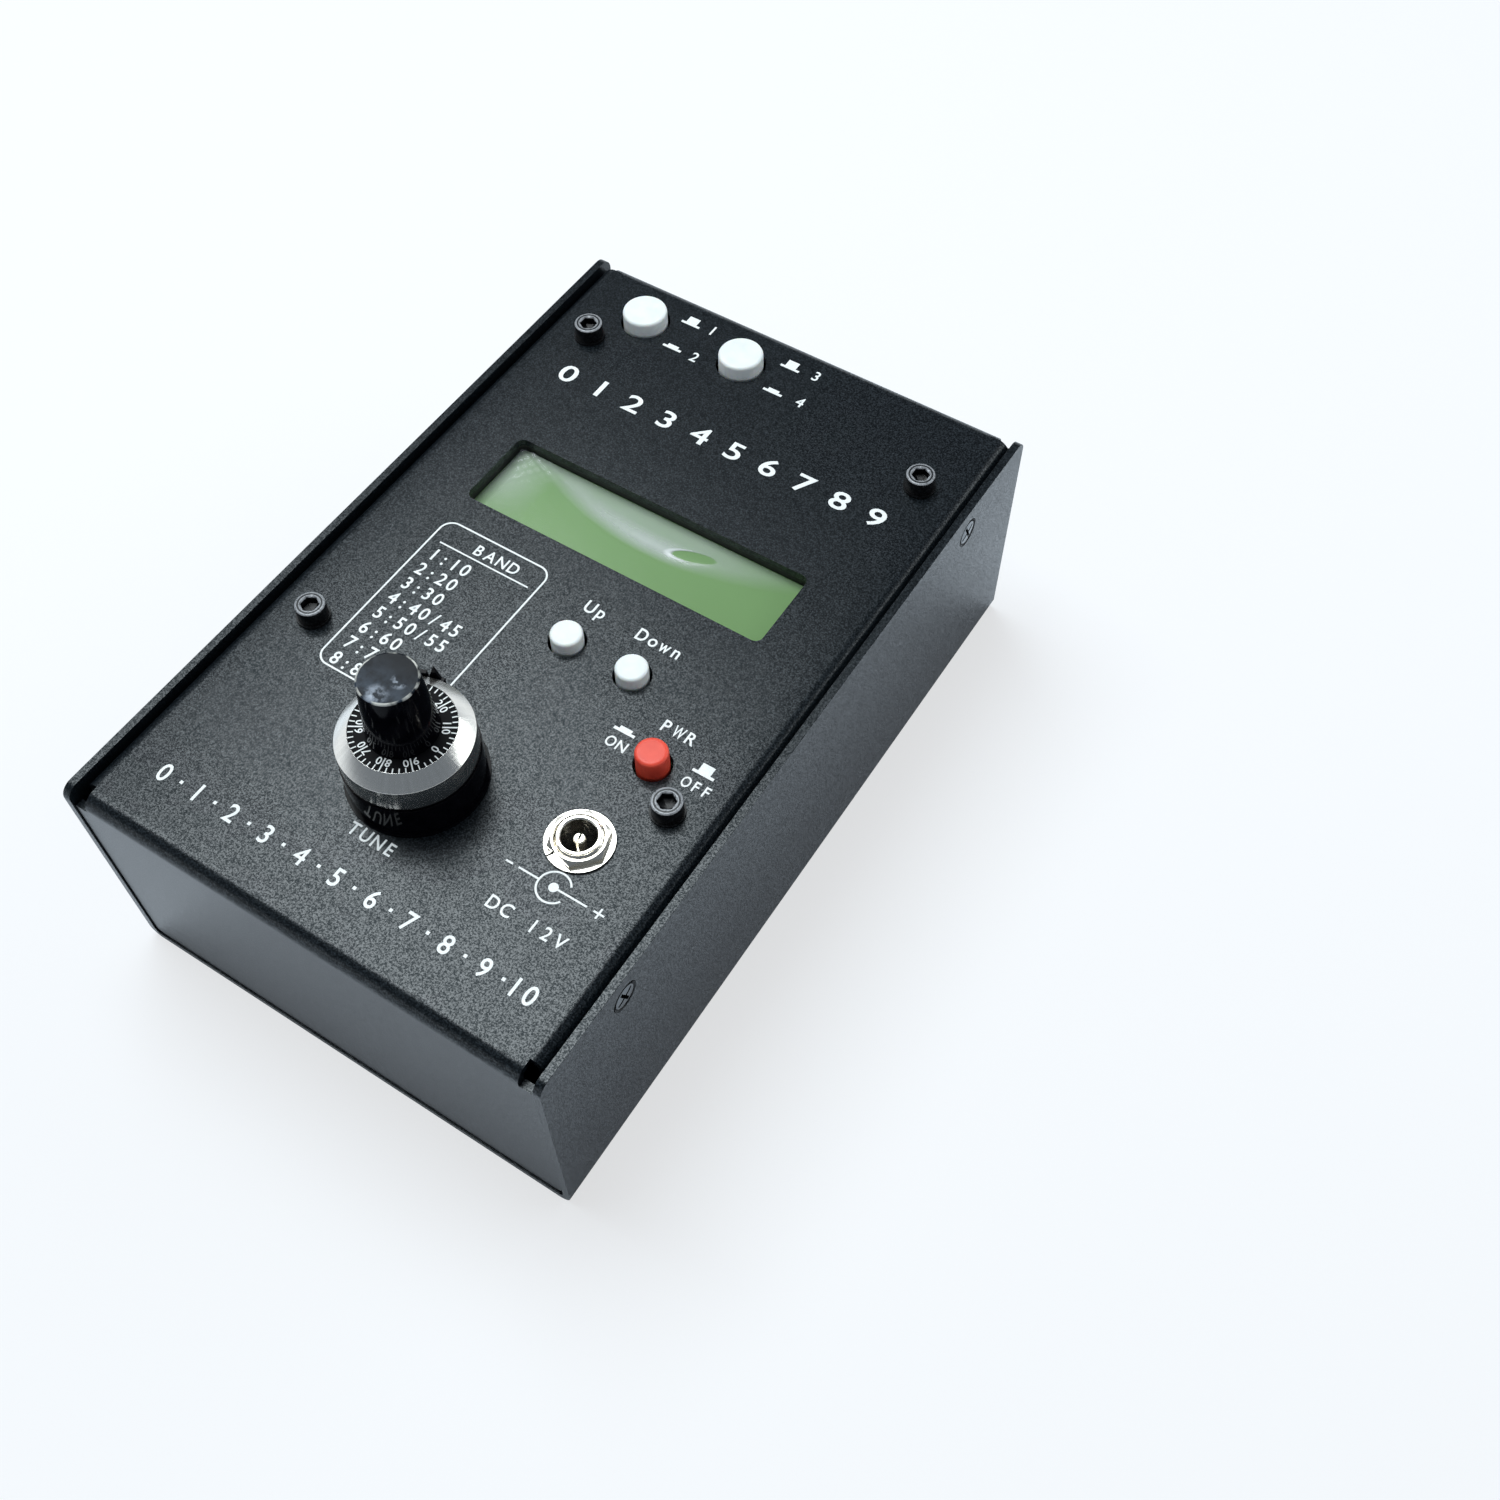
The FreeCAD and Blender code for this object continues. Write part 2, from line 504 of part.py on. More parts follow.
def outline(sketch, corners):
    """A closed outline through corners (x, y) or (x, y, radius).

    An edge whose ends share an x or a y is held upright or level there. Corners with a radius
    lie between such edges and become tangent arcs; all others are held by their two dimensions.
    """
    count = len(corners)
    places = [Vec(number(c[0]), number(c[1]), 0) for c in corners]
    radii = [number(c[2]) if len(c) > 2 else 0.0 for c in corners]
    upright = [corners[i][0] == corners[(i + 1) % count][0] for i in range(count)]
    level = [corners[i][1] == corners[(i + 1) % count][1] for i in range(count)]
    lines = []
    for i in range(count):
        start, end = places[i], places[(i + 1) % count]
        along = (end - start).normalize()
        begin = start + along * radii[i]
        finish = end - along * radii[(i + 1) % count]
        lines.append(sketch.addGeometry(Part.LineSegment(begin, finish), False))
    for i in range(count):
        before, after = lines[i - 1], lines[i]
        if radii[i] > 0:
            into = (places[i] - places[i - 1]).normalize()
            away = (places[(i + 1) % count] - places[i]).normalize()
            first = places[i] - into * radii[i]
            last = places[i] + away * radii[i]
            centre = places[i] - into * radii[i] + away * radii[i]
            middle = centre + (places[i] - centre).normalize() * radii[i]
            arc = sketch.addGeometry(Part.Arc(first, middle, last), False)
            turning_left = into.cross(away).z > 0
            ends = (1, 2) if turning_left else (2, 1)
            sketch.addConstraint(Sketcher.Constraint("Tangent", before, 2, arc, ends[0]))
            sketch.addConstraint(Sketcher.Constraint("Tangent", arc, ends[1], after, 1))
            hold(sketch, "Radius", (arc,), corners[i][2])
        else:
            sketch.addConstraint(Sketcher.Constraint("Coincident", before, 2, after, 1))
    for i in range(count):
        if upright[i]:
            sketch.addConstraint(Sketcher.Constraint("Vertical", lines[i]))
            hold(sketch, "DistanceX", (-1, 1, lines[i], 1), corners[i][0])
        elif level[i]:
            sketch.addConstraint(Sketcher.Constraint("Horizontal", lines[i]))
            hold(sketch, "DistanceY", (-1, 1, lines[i], 1), corners[i][1])
        if radii[i] > 0:
            continue
        if not (upright[i] or upright[i - 1]):
            hold(sketch, "DistanceX", (-1, 1, lines[i], 1), corners[i][0])
        if not (level[i] or level[i - 1]):
            hold(sketch, "DistanceY", (-1, 1, lines[i], 1), corners[i][1])


def rectangle(sketch, centre, width, length, corner=None):
    """A level rectangle about a centre, with rounded corners if a radius is given."""
    left, right = f"{centre[0]} - ({width}) / 2", f"{centre[0]} + ({width}) / 2"
    low, high = f"{centre[1]} - ({length}) / 2", f"{centre[1]} + ({length}) / 2"
    extra = (corner,) if corner else ()
    outline(sketch, [point + extra for point in ((left, low), (right, low), (right, high), (left, high))])


def circle(sketch, centre, radius):
    round_hole = sketch.addGeometry(
        Part.Circle(Vec(number(centre[0]), number(centre[1]), 0), Vec(0, 0, 1), number(radius)), False)
    hold(sketch, "DistanceX", (-1, 1, round_hole, 3), centre[0])
    hold(sketch, "DistanceY", (-1, 1, round_hole, 3), centre[1])
    hold(sketch, "Radius", (round_hole,), radius)


def turned(name, corners, at=("0", "0", "0"), turn=None):
    """A body of revolution about its own Z; corners are (radius, height) round its section."""
    shop = Shop(name, at, turn)
    section = shop.sketch("XZ_Plane")
    outline(section, corners)
    shop.revolve(section)
    return shop


def cross_recess(shop, level):
    """A cross-shaped driver recess, cut down from a level of the screw's own frame."""
    arm, slot = "cross_width / 2", "cross_slot / 2"
    recess = shop.sketch("XY_Plane", level)
    outline(recess, [
        (f"-{arm}", f"-{slot}"), (f"-{slot}", f"-{slot}"), (f"-{slot}", f"-{arm}"), (slot, f"-{arm}"),
        (slot, f"-{slot}"), (arm, f"-{slot}"), (arm, slot), (slot, slot),
        (slot, arm), (f"-{slot}", arm), (f"-{slot}", slot), (f"-{arm}", slot),
    ])
    shop.pocket(recess, "cross_depth")


def pan_screw(name, radius, head_radius, head_height, grip, at, turn=None):
    """A pan-head screw: its head stands on its own origin and its shank runs to -Z."""
    shop = turned(name, [
        ("0", f"-({grip})"), (radius, f"-({grip})"), (radius, "0"), (head_radius, "0"),
        (head_radius, f"{head_height} - pan_crown_drop"), (f"{head_radius} - pan_crown_reach", head_height),
        ("0", head_height),
    ], at, turn)
    cross_recess(shop, head_height)
    return shop.body


# ---------------------------------------------------------------- case

def side_screw_places():
    """Where the four side screws meet the side plates, each with the way it faces."""
    found = []
    for side, turn in (("-1", TO_LEFT), ("1", TO_RIGHT)):
        for end in ("-1", "1"):
            found.append((side, f"{end} * (case_length / 2 - side_screw_inset)", turn))
    return found


def bottom_tray():
    """A U of sheet metal: the base and the two full-length side plates."""
    shop = Shop("bottom_tray")
    half, floor, bend = "case_width / 2", "tray_sheet", "bend_radius"
    inner = "case_width / 2 - tray_sheet"
    profile = shop.sketch("XZ_Plane")
    outline(profile, [
        (f"-({half})", "0", f"{bend} + {floor}"), (half, "0", f"{bend} + {floor}"), (half, "case_height"),
        (inner, "case_height"), (inner, floor, bend), (f"-({inner})", floor, bend),
        (f"-({inner})", "case_height"), (f"-({half})", "case_height"),
    ])
    shop.pad(profile, "case_length", both=True)
    ends, top = number("case_length / 2"), number("case_height")

    def plate_corner(edge):
        middle = edge.BoundBox.Center
        across = edge.BoundBox.XLength > edge.BoundBox.YLength
        return across and abs(abs(middle.y) - ends) < SAME_PLACE and abs(middle.z - top) < SAME_PLACE

    shop.fillet(plate_corner, "plate_corner")
    holes = []
    for side, along, turn in side_screw_places():
        at = (f"{side} * case_width / 2", along, SIDE_SCREW_LEVEL)
        through = (f"{side} * (case_width / 2 - 2 * tray_sheet)", along, SIDE_SCREW_LEVEL)
        cone = scratch("Part::Cone", "tray_countersink")
        cone.setExpression("Radius1", bound("side_head_dia / 2"))
        cone.setExpression("Radius2", bound(THREAD))
        cone.setExpression("Height", bound(SIDE_HEAD_DEPTH))
        holes.append(place(cone, at, TO_LEFT if turn is TO_RIGHT else TO_RIGHT))
        holes.append(cylinder("tray_screw_hole", SCREW_HOLE, "2 * tray_sheet", through, turn))
    keep("bottom_tray", cut("bottom_tray", shop.body, holes))


def panel_openings(shop):
    """Window, button holes, screw holes, and the holes for the dial's bush and the inlet."""
    openings = shop.sketch("XY_Plane", PANEL_TOP)
    rectangle(openings, ("-display_shift", DISPLAY_LINE), "window_width", "window_length", "window_corner")
    for across, along, radius, proud in LATCHING.values():
        circle(openings, (across, along), f"{radius} + button_play")
    for across, along in STEPPING.values():
        circle(openings, (across, along), "step_cap_radius + button_play")
    for across, along in PANEL_SCREWS:
        circle(openings, (across, along), SCREW_HOLE)
    circle(openings, DIAL_AT, "bush_radius + hole_play")
    circle(openings, INLET_AT, "inlet_thread_radius + hole_play")
    shop.pocket(openings, "2 * cover_sheet")


def wall_openings(shop):
    """The antenna jack's hole and its four screw holes in the far end wall."""
    openings = shop.sketch("XZ_Plane", f"-({COVER_END} + cover_sheet)")
    circle(openings, ("0", "antenna_level"), "antenna_hub_radius + hole_play")
    for across, up in CORNERS:
        spot = (f"{across} * antenna_hole_spacing / 2", f"antenna_level + {up} * antenna_hole_spacing / 2")
        circle(openings, spot, SCREW_HOLE)
    shop.pocket(openings, "3 * cover_sheet", back=True)


def top_cover():
    """The panel with both end walls, and a flange folded down along each side."""
    shop = Shop("top_cover")
    bend = "bend_radius + cover_sheet"
    low = "tray_sheet + end_lift"
    inside = f"{COVER_END} - cover_sheet"
    profile = shop.sketch("YZ_Plane")
    outline(profile, [
        (f"-{COVER_END}", low), (f"-({inside})", low), (f"-({inside})", PANEL_UNDER, "bend_radius"),
        (inside, PANEL_UNDER, "bend_radius"), (inside, low), (COVER_END, low),
        (COVER_END, PANEL_TOP, bend), (f"-{COVER_END}", PANEL_TOP, bend),
    ])
    shop.pad(profile, f"2 * {COVER_SIDE}", both=True)
    foot = number(low)

    def wall_corner(edge):
        middle = edge.BoundBox.Center
        along = edge.BoundBox.YLength > max(edge.BoundBox.XLength, edge.BoundBox.ZLength)
        return along and abs(middle.z - foot) < SAME_PLACE

    shop.fillet(wall_corner, "end_corner")
    edges = shop.sketch("XY_Plane", PANEL_TOP)
    strip_end = f"({COVER_END} + cover_sheet)"
    for side in ("-1", "1"):
        near, far = f"{side} * ({COVER_SIDE} - ({bend}))", f"{side} * ({COVER_SIDE} + cover_sheet)"
        outline(edges, [(near, f"-{strip_end}"), (far, f"-{strip_end}"), (far, strip_end), (near, strip_end)])
    shop.pocket(edges, f"{bend} + corner_relief")
    flanges = shop.sketch("XZ_Plane", "(flange_far_setback - flange_setback) / 2")
    flange_low = f"{PANEL_TOP} - flange_depth"
    for side in ("-1", "1"):
        root, outer = f"{side} * ({COVER_SIDE} - ({bend}) - cover_sheet)", f"{side} * {COVER_SIDE}"
        inner = f"{side} * ({COVER_SIDE} - cover_sheet)"
        outline(flanges, [
            (root, PANEL_UNDER), (inner, PANEL_UNDER, "bend_radius"), (inner, flange_low),
            (outer, flange_low), (outer, PANEL_TOP, bend), (root, PANEL_TOP),
        ])
    shop.pad(flanges, f"2 * {COVER_END} - flange_setback - flange_far_setback", both=True)
    panel_openings(shop)
    wall_openings(shop)
    holes = []
    for side, along, turn in side_screw_places():
        at = (f"{side} * ({COVER_SIDE} - 2 * cover_sheet)", along, SIDE_SCREW_LEVEL)
        holes.append(cylinder("flange_screw_hole", SCREW_HOLE, "3 * cover_sheet", at, turn))
    keep("top_cover", cut("top_cover", shop.body, holes))


def side_fasteners():
    """Countersunk screws through the side plates, and the press nuts they go into."""
    screws, nuts = [], []
    for side, along, turn in side_screw_places():
        at = (f"{side} * case_width / 2", along, SIDE_SCREW_LEVEL)
        screw = turned("side_screw", [
            ("0", "-side_screw_length"), (THREAD, "-side_screw_length"), (THREAD, f"-{SIDE_HEAD_DEPTH}"),
            ("side_head_dia / 2", "0"), ("0", "0"),
        ], at, turn)
        cross_recess(screw, "0")
        screws.append(screw.body)
        back = (f"{side} * ({COVER_SIDE} - cover_sheet - press_nut_depth)", along, SIDE_SCREW_LEVEL)
        blank = cylinder("press_nut", "press_nut_dia / 2", "press_nut_depth", back, turn)
        thread = cylinder("press_nut_thread", THREAD, "press_nut_depth", back, turn)
        nuts.append(cut("press_nut", blank, [thread]))
    keep("side_screws", group("side_screws", screws))
    keep("side_screw_nuts", group("side_screw_nuts", nuts))


def panel_fasteners():
    """Cap screws and washers on the panel, standoffs under it, and the board's own screws."""
    screws, washers, standoffs, board_screws = [], [], [], []
    for across, along in PANEL_SCREWS:
        seat = (across, along, f"{PANEL_TOP} + washer_sheet")
        screw = turned("panel_screw", [
            ("0", "-cap_screw_grip"), (THREAD, "-cap_screw_grip"), (THREAD, "0"), ("cap_head_dia / 2", "0"),
            ("cap_head_dia / 2", "cap_head_height", "cap_head_round"), ("0", "cap_head_height"),
        ], seat)
        socket = hexagon("panel_screw_socket", "hex_socket", "2 * hex_socket_depth",
                         (across, along, f"{PANEL_TOP} + washer_sheet + cap_head_height - hex_socket_depth"))
        screws.append(cut("panel_screw", screw.body, [socket]))
        flat = (across, along, PANEL_TOP)
        washers.append(cut("washer", cylinder("washer", "washer_dia / 2", "washer_sheet", flat),
                           [cylinder("washer_hole", SCREW_HOLE, "washer_sheet", flat)]))
        foot = (across, along, BOARD_TOP)
        standoffs.append(cut("standoff", hexagon("standoff", "standoff_flats", "standoff_length", foot),
                             [cylinder("standoff_thread", THREAD, "standoff_length", foot)]))
        board_screws.append(pan_screw("board_screw", THREAD, "pan_head_dia / 2", "pan_head_height",
                                      "board_screw_grip", (across, along, BOARD_UNDER), DOWNWARDS))
    keep("panel_screws", group("panel_screws", screws))
    keep("panel_washers", group("panel_washers", washers))
    keep("board_standoffs", group("board_standoffs", standoffs))
    keep("board_screws", group("board_screws", board_screws))


# ---------------------------------------------------------------- main board

def main_board():
    """The board under the panel, cut to clear the tuning control and the inlet."""
    shop = Shop("main_board")
    edge = shop.sketch("XY_Plane", BOARD_UNDER)
    left, right = f"-{BOARD_SIDE}", BOARD_SIDE
    outline(edge, [(left, BOARD_NEAR), (right, BOARD_NEAR), (right, BOARD_FAR), (left, BOARD_FAR)])
    for across, along in PANEL_SCREWS:
        circle(edge, (across, along), SCREW_HOLE)
    shop.pad(edge, "board_thickness")
    keep("main_board", shop.body)


def board_parts():
    """What is soldered to the main board: chips, capacitors, ring cores, regulator, shield."""
    chips = []
    for step in FOUR_IN_A_ROW:
        chips.append(box("chip", "chip_width", "chip_length", "chip_height",
                         (f"{step} * chip_spacing", DISPLAY_LINE, BOARD_TOP)))
    keep("board_chips", group("board_chips", chips))
    cans = []
    for step in THREE_IN_A_ROW:
        cans.append(cylinder("capacitor", "capacitor_radius", "capacitor_height",
                             (f"{step} * capacitor_spacing - capacitor_across",
                              f"{POWER_LINE} + capacitor_offset", BOARD_TOP)))
    keep("board_capacitors", group("board_capacitors", cans))
    cores = []
    for step in THREE_IN_A_ROW:
        core = turned("ring_core", [
            ("core_inner", "0", "core_round"), ("core_outer", "0", "core_round"),
            ("core_outer", "core_height", "core_round"), ("core_inner", "core_height", "core_round"),
        ], (f"{step} * core_spacing", f"{FAR_SCREW_LINE} - core_offset", BOARD_TOP))
        cores.append(core.body)
    keep("board_ring_cores", group("board_ring_cores", cores))
    middle, front = f"{POWER_ACROSS} - regulator_across", f"{POWER_LINE} - regulator_offset"
    keep("voltage_regulator", box("voltage_regulator", "regulator_width", "regulator_depth",
                                  "regulator_height", (middle, front, BOARD_TOP)))
    sink_line = f"{front} + regulator_depth / 2 + sink_depth / 2"
    sink = box("sink", "sink_width", "sink_depth", "sink_height", (middle, sink_line, BOARD_TOP))
    trough = box("sink_trough", "sink_width - 2 * sink_wall", "sink_depth", "sink_height",
                 (middle, f"{sink_line} + sink_wall", BOARD_TOP))
    keep("regulator_heatsink", cut("regulator_heatsink", sink, [trough]))
    under = f"{BOARD_UNDER} - can_depth"
    can_line = f"{FAR_SCREW_LINE} - can_offset"
    can = box("shield", "can_width", "can_length", "can_depth", ("0", can_line, under))
    room = box("shield_room", "can_width - 2 * can_wall", "can_length - 2 * can_wall", "can_depth",
               ("0", can_line, f"{under} + can_wall"))
    keep("shield_can", cut("shield_can", can, [room]))


# ---------------------------------------------------------------- display

def display():
    """Character display: board on spacers, backlight, glass, film and bezel."""
    centre = ("-display_shift", DISPLAY_LINE)
    shop = Shop("display_board")
    edge = shop.sketch("XY_Plane", DISPLAY_UNDER)
    rectangle(edge, centre, DISPLAY_WIDTH, DISPLAY_LENGTH)
    for across, along in DISPLAY_SCREWS:
        circle(edge, (across, along), "display_thread / 2 + hole_play")
    shop.pad(edge, "display_board_thickness")
    keep("display_board", shop.body)

    spacers, screws = [], []
    for across, along in DISPLAY_SCREWS:
        foot = (across, along, BOARD_TOP)
        spacers.append(cut("spacer", cylinder("spacer", "spacer_dia / 2", "spacer_length", foot),
                           [cylinder("spacer_thread", "display_thread / 2", "spacer_length", foot)]))
        screws.append(pan_screw("display_screw", "display_thread / 2", "display_screw_head / 2",
                                "display_screw_head_height", "display_screw_grip",
                                (across, along, DISPLAY_TOP)))
    keep("display_spacers", group("display_spacers", spacers))
    keep("display_screws", group("display_screws", screws))

    header_line = f"{DISPLAY_LINE} - {DISPLAY_LENGTH} / 2 + header_inset"
    keep("display_header", box("display_header", "header_length", "header_width", "spacer_length",
                               ("-display_shift", header_line, BOARD_TOP)))

    frame = Shop("display_bezel")
    outside = frame.sketch("XY_Plane", DISPLAY_TOP)
    rectangle(outside, centre, BEZEL_WIDTH, BEZEL_LENGTH)
    frame.pad(outside, f"{BEZEL_TOP} - {DISPLAY_TOP}")
    room = frame.sketch("XY_Plane", GLASS_TOP)
    rectangle(room, centre, f"{BEZEL_WIDTH} - 2 * bezel_wall", f"{BEZEL_LENGTH} - 2 * bezel_wall")
    frame.pocket(room, f"{GLASS_TOP} - {DISPLAY_TOP}")
    opening = frame.sketch("XY_Plane", BEZEL_TOP)
    rectangle(opening, centre, "window_width + 2 * bezel_reveal", "window_length + 2 * bezel_reveal",
              "window_corner")
    frame.pocket(opening, f"{BEZEL_TOP} - {GLASS_TOP}")
    keep("display_bezel", frame.body)

    inner_width = f"{BEZEL_WIDTH} - 2 * bezel_wall - 2 * glass_play"
    inner_length = f"{BEZEL_LENGTH} - 2 * bezel_wall - 2 * glass_play"
    keep("display_backlight", box("display_backlight", inner_width, inner_length,
                                  f"{GLASS_UNDER} - {DISPLAY_TOP}", (*centre, DISPLAY_TOP)))
    keep("display_glass", box("display_glass", inner_width, inner_length, "glass_thickness",
                              (*centre, GLASS_UNDER)))
    film = Shop("display_film")
    sheet = film.sketch("XY_Plane", GLASS_TOP)
    rectangle(sheet, centre, "window_width + 2 * bezel_reveal - 2 * film_play",
              "window_length + 2 * bezel_reveal - 2 * film_play", "window_corner")
    film.pad(sheet, "film_thickness")
    keep("display_film", film.body)


# ---------------------------------------------------------------- push buttons

def coil(name, at):
    """A round-wire compression spring standing on at, its wire kept within its length."""
    across, along, level = at[0], at[1], f"{at[2]} + spring_wire / 2"
    rise = "(spring_length - spring_wire)"
    helix = scratch("Part::Helix", name)
    helix.setExpression("Pitch", bound(f"{rise} / spring_turns"))
    helix.setExpression("Height", bound(rise))
    helix.setExpression("Radius", bound("spring_radius"))
    place(helix, (across, along, level))
    section = scratch("Part::Circle", name)
    section.setExpression("Radius", bound("spring_wire / 2"))
    place(section, (f"{across} + spring_radius", along, level), UPRIGHT)
    DOC.recompute()
    item = scratch("Part::Sweep", name)
    item.Sections = [section]
    item.Spine = (helix, [f"Edge{n}" for n in range(1, len(helix.Shape.Edges) + 1)])
    item.Solid = True
    item.Frenet = True
    return item


def latching_switch(name, across, along, cap_radius, proud):
    """A square latching switch: body, plunger, spring under the plunger, and round cap."""
    foot = (across, along, BOARD_TOP)
    well = (across, along, f"{BOARD_TOP} + latch_floor")
    shell = box(name + "_switch", "latch_body", "latch_body", "latch_height", foot)
    bore = cylinder(name + "_bore", "plunger_radius + plunger_play", "latch_height", well)
    keep(name + "_switch_body", cut(name + "_switch_body", shell, [bore]))
    keep(name + "_switch_spring", coil(name + "_spring", well))
    plunger_low = f"({BOARD_TOP} + latch_floor + spring_length)"
    cap_low = f"({LATCH_TOP} + latch_travel + button_play)"
    cap_top = f"({PANEL_TOP} + {proud})"
    plunger_top = f"({cap_top} - cap_roof)"
    keep(name + "_switch_plunger", cylinder(name + "_plunger", "plunger_radius",
                                            f"{plunger_top} - {plunger_low}", (across, along, plunger_low)))
    cap = turned(name + "_cap", [
        ("plunger_radius", cap_low), (cap_radius, cap_low), (cap_radius, cap_top, "cap_round"),
        ("0", cap_top), ("0", plunger_top), ("plunger_radius", plunger_top),
    ], (across, along, "0"))
    keep(name + "_button_cap", cap.body)


def stepping_switch(name, across, along):
    """A small momentary switch and its long round cap."""
    foot = (across, along, BOARD_TOP)
    shell = box(name + "_switch", "step_body", "step_body", "step_height", foot)
    depth = "step_stem_depth + step_travel + plunger_play"
    bore = cylinder(name + "_bore", "step_stem_radius + plunger_play", f"2 * ({depth})",
                    (across, along, f"{STEP_TOP} - ({depth})"))
    keep(name + "_switch_body", cut(name + "_switch_body", shell, [bore]))
    cap_low = f"({STEP_TOP} + step_travel + button_play)"
    cap_top = f"({PANEL_TOP} + step_proud)"
    stem_low = f"({STEP_TOP} - step_stem_depth)"
    cap = turned(name + "_cap", [
        ("0", stem_low), ("step_stem_radius", stem_low), ("step_stem_radius", cap_low),
        ("step_cap_radius", cap_low), ("step_cap_radius", cap_top, "cap_round"), ("0", cap_top),
    ], (across, along, "0"))
    keep(name + "_button", cap.body)


# ---------------------------------------------------------------- tuning control

def tuning_control():
    """Ten-turn potentiometer hung from the panel by its bush and nut."""
    at = (*DIAL_AT, PANEL_UNDER)
    low = (*DIAL_AT, f"{PANEL_UNDER} - pot_length")
    well = (*DIAL_AT, f"{PANEL_UNDER} - shaft_root - dial_gap")
    case = cylinder("pot", "pot_radius", "pot_length", low)
    bore = cylinder("pot_bore", "shaft_radius + shaft_play", "2 * (shaft_root + dial_gap)", well)
    keep("tuning_pot_body", cut("tuning_pot_body", case, [bore]))
    bush_height = f"({PANEL_TOP} + dial_floor + pot_nut_height + bush_proud - {PANEL_UNDER})"
    keep("tuning_pot_bush", cut("tuning_pot_bush", cylinder("bush", "bush_radius", bush_height, at),
                                [cylinder("bush_bore", "shaft_radius + shaft_play", bush_height, at)]))
    seat = (*DIAL_AT, f"{PANEL_TOP} + dial_floor")
    keep("tuning_pot_nut", cut("tuning_pot_nut", hexagon("pot_nut", "pot_nut_flats", "pot_nut_height", seat),
                               [cylinder("pot_nut_thread", "bush_radius", "pot_nut_height", seat)]))
    keep("tuning_shaft", cylinder("tuning_shaft", "shaft_radius", "shaft_root + cover_sheet + shaft_top",
                                  (*DIAL_AT, f"{PANEL_UNDER} - shaft_root")))


def sector(name, inner, outer, start, sweep, height, level):
    """Part of a ring about the dial's axis, from one angle over another, standing on a level."""
    blank = cylinder(name, outer, height, (*DIAL_AT, level), (Vec(0, 0, 1), number(start)))
    blank.setExpression("Angle", bound(sweep))
    return cut(name, blank, [cylinder(name + "_inside", inner, height, (*DIAL_AT, level))])


def dial_base():
    """The dial's fixed base: a cup on the panel, with an index collar behind the ring."""
    top = f"{PANEL_TOP} + dial_base_height"
    lip_top = f"{PANEL_TOP} + base_lip_height"
    lip = "dial_base_radius + base_lip"
    floor = f"{PANEL_TOP} + dial_floor"
    inside = "dial_base_radius - dial_base_wall"
    hole = "bush_radius + hole_play"
    cup = turned("dial_base", [
        (hole, PANEL_TOP), (lip, PANEL_TOP), (lip, lip_top), ("dial_base_radius", lip_top),
        ("dial_base_radius", top), (inside, top), (inside, floor), (hole, floor),
    ], (*DIAL_AT, "0"))
    collar_top = f"{PANEL_TOP} + collar_height"
    low_part = sector("collar_foot", inside, COLLAR_OUTER, "collar_start", "collar_sweep",
                      "dial_base_height", PANEL_TOP)
    high_part = sector("collar", COLLAR_INNER, COLLAR_OUTER, "collar_start", "collar_sweep",
                       "collar_height", PANEL_TOP)
    lug = sector("brake_lug", COLLAR_INNER, COLLAR_OUTER, "lug_angle", "lug_sweep", "lug_height", collar_top)
    pointer = scratch("Part::Wedge", "index_pointer")
    behind, before = f"{COLLAR_INNER} + index_inset", f"{COLLAR_OUTER} - index_inset"
    for corner, text in (("Xmin", "-index_width / 2"), ("Xmax", "index_width / 2"),
                         ("Ymin", "0"), ("Ymax", "index_height"), ("Zmin", behind), ("Zmax", before),
                         ("X2min", "-index_edge / 2"), ("X2max", "index_edge / 2"),
                         ("Z2min", behind), ("Z2max", before)):
        pointer.setExpression(corner, bound(text))
    stand = FreeCAD.Rotation(Vec(1, 0, 0), 90)
    swing = FreeCAD.Rotation(Vec(0, 0, 1), number("index_angle") + 90)
    both = swing.multiply(stand)
    place(pointer, (*DIAL_AT, collar_top), (both.Axis, math.degrees(both.Angle)))
    keep("dial_base", fuse("dial_base", [cup.body, low_part, high_part, lug, pointer]))


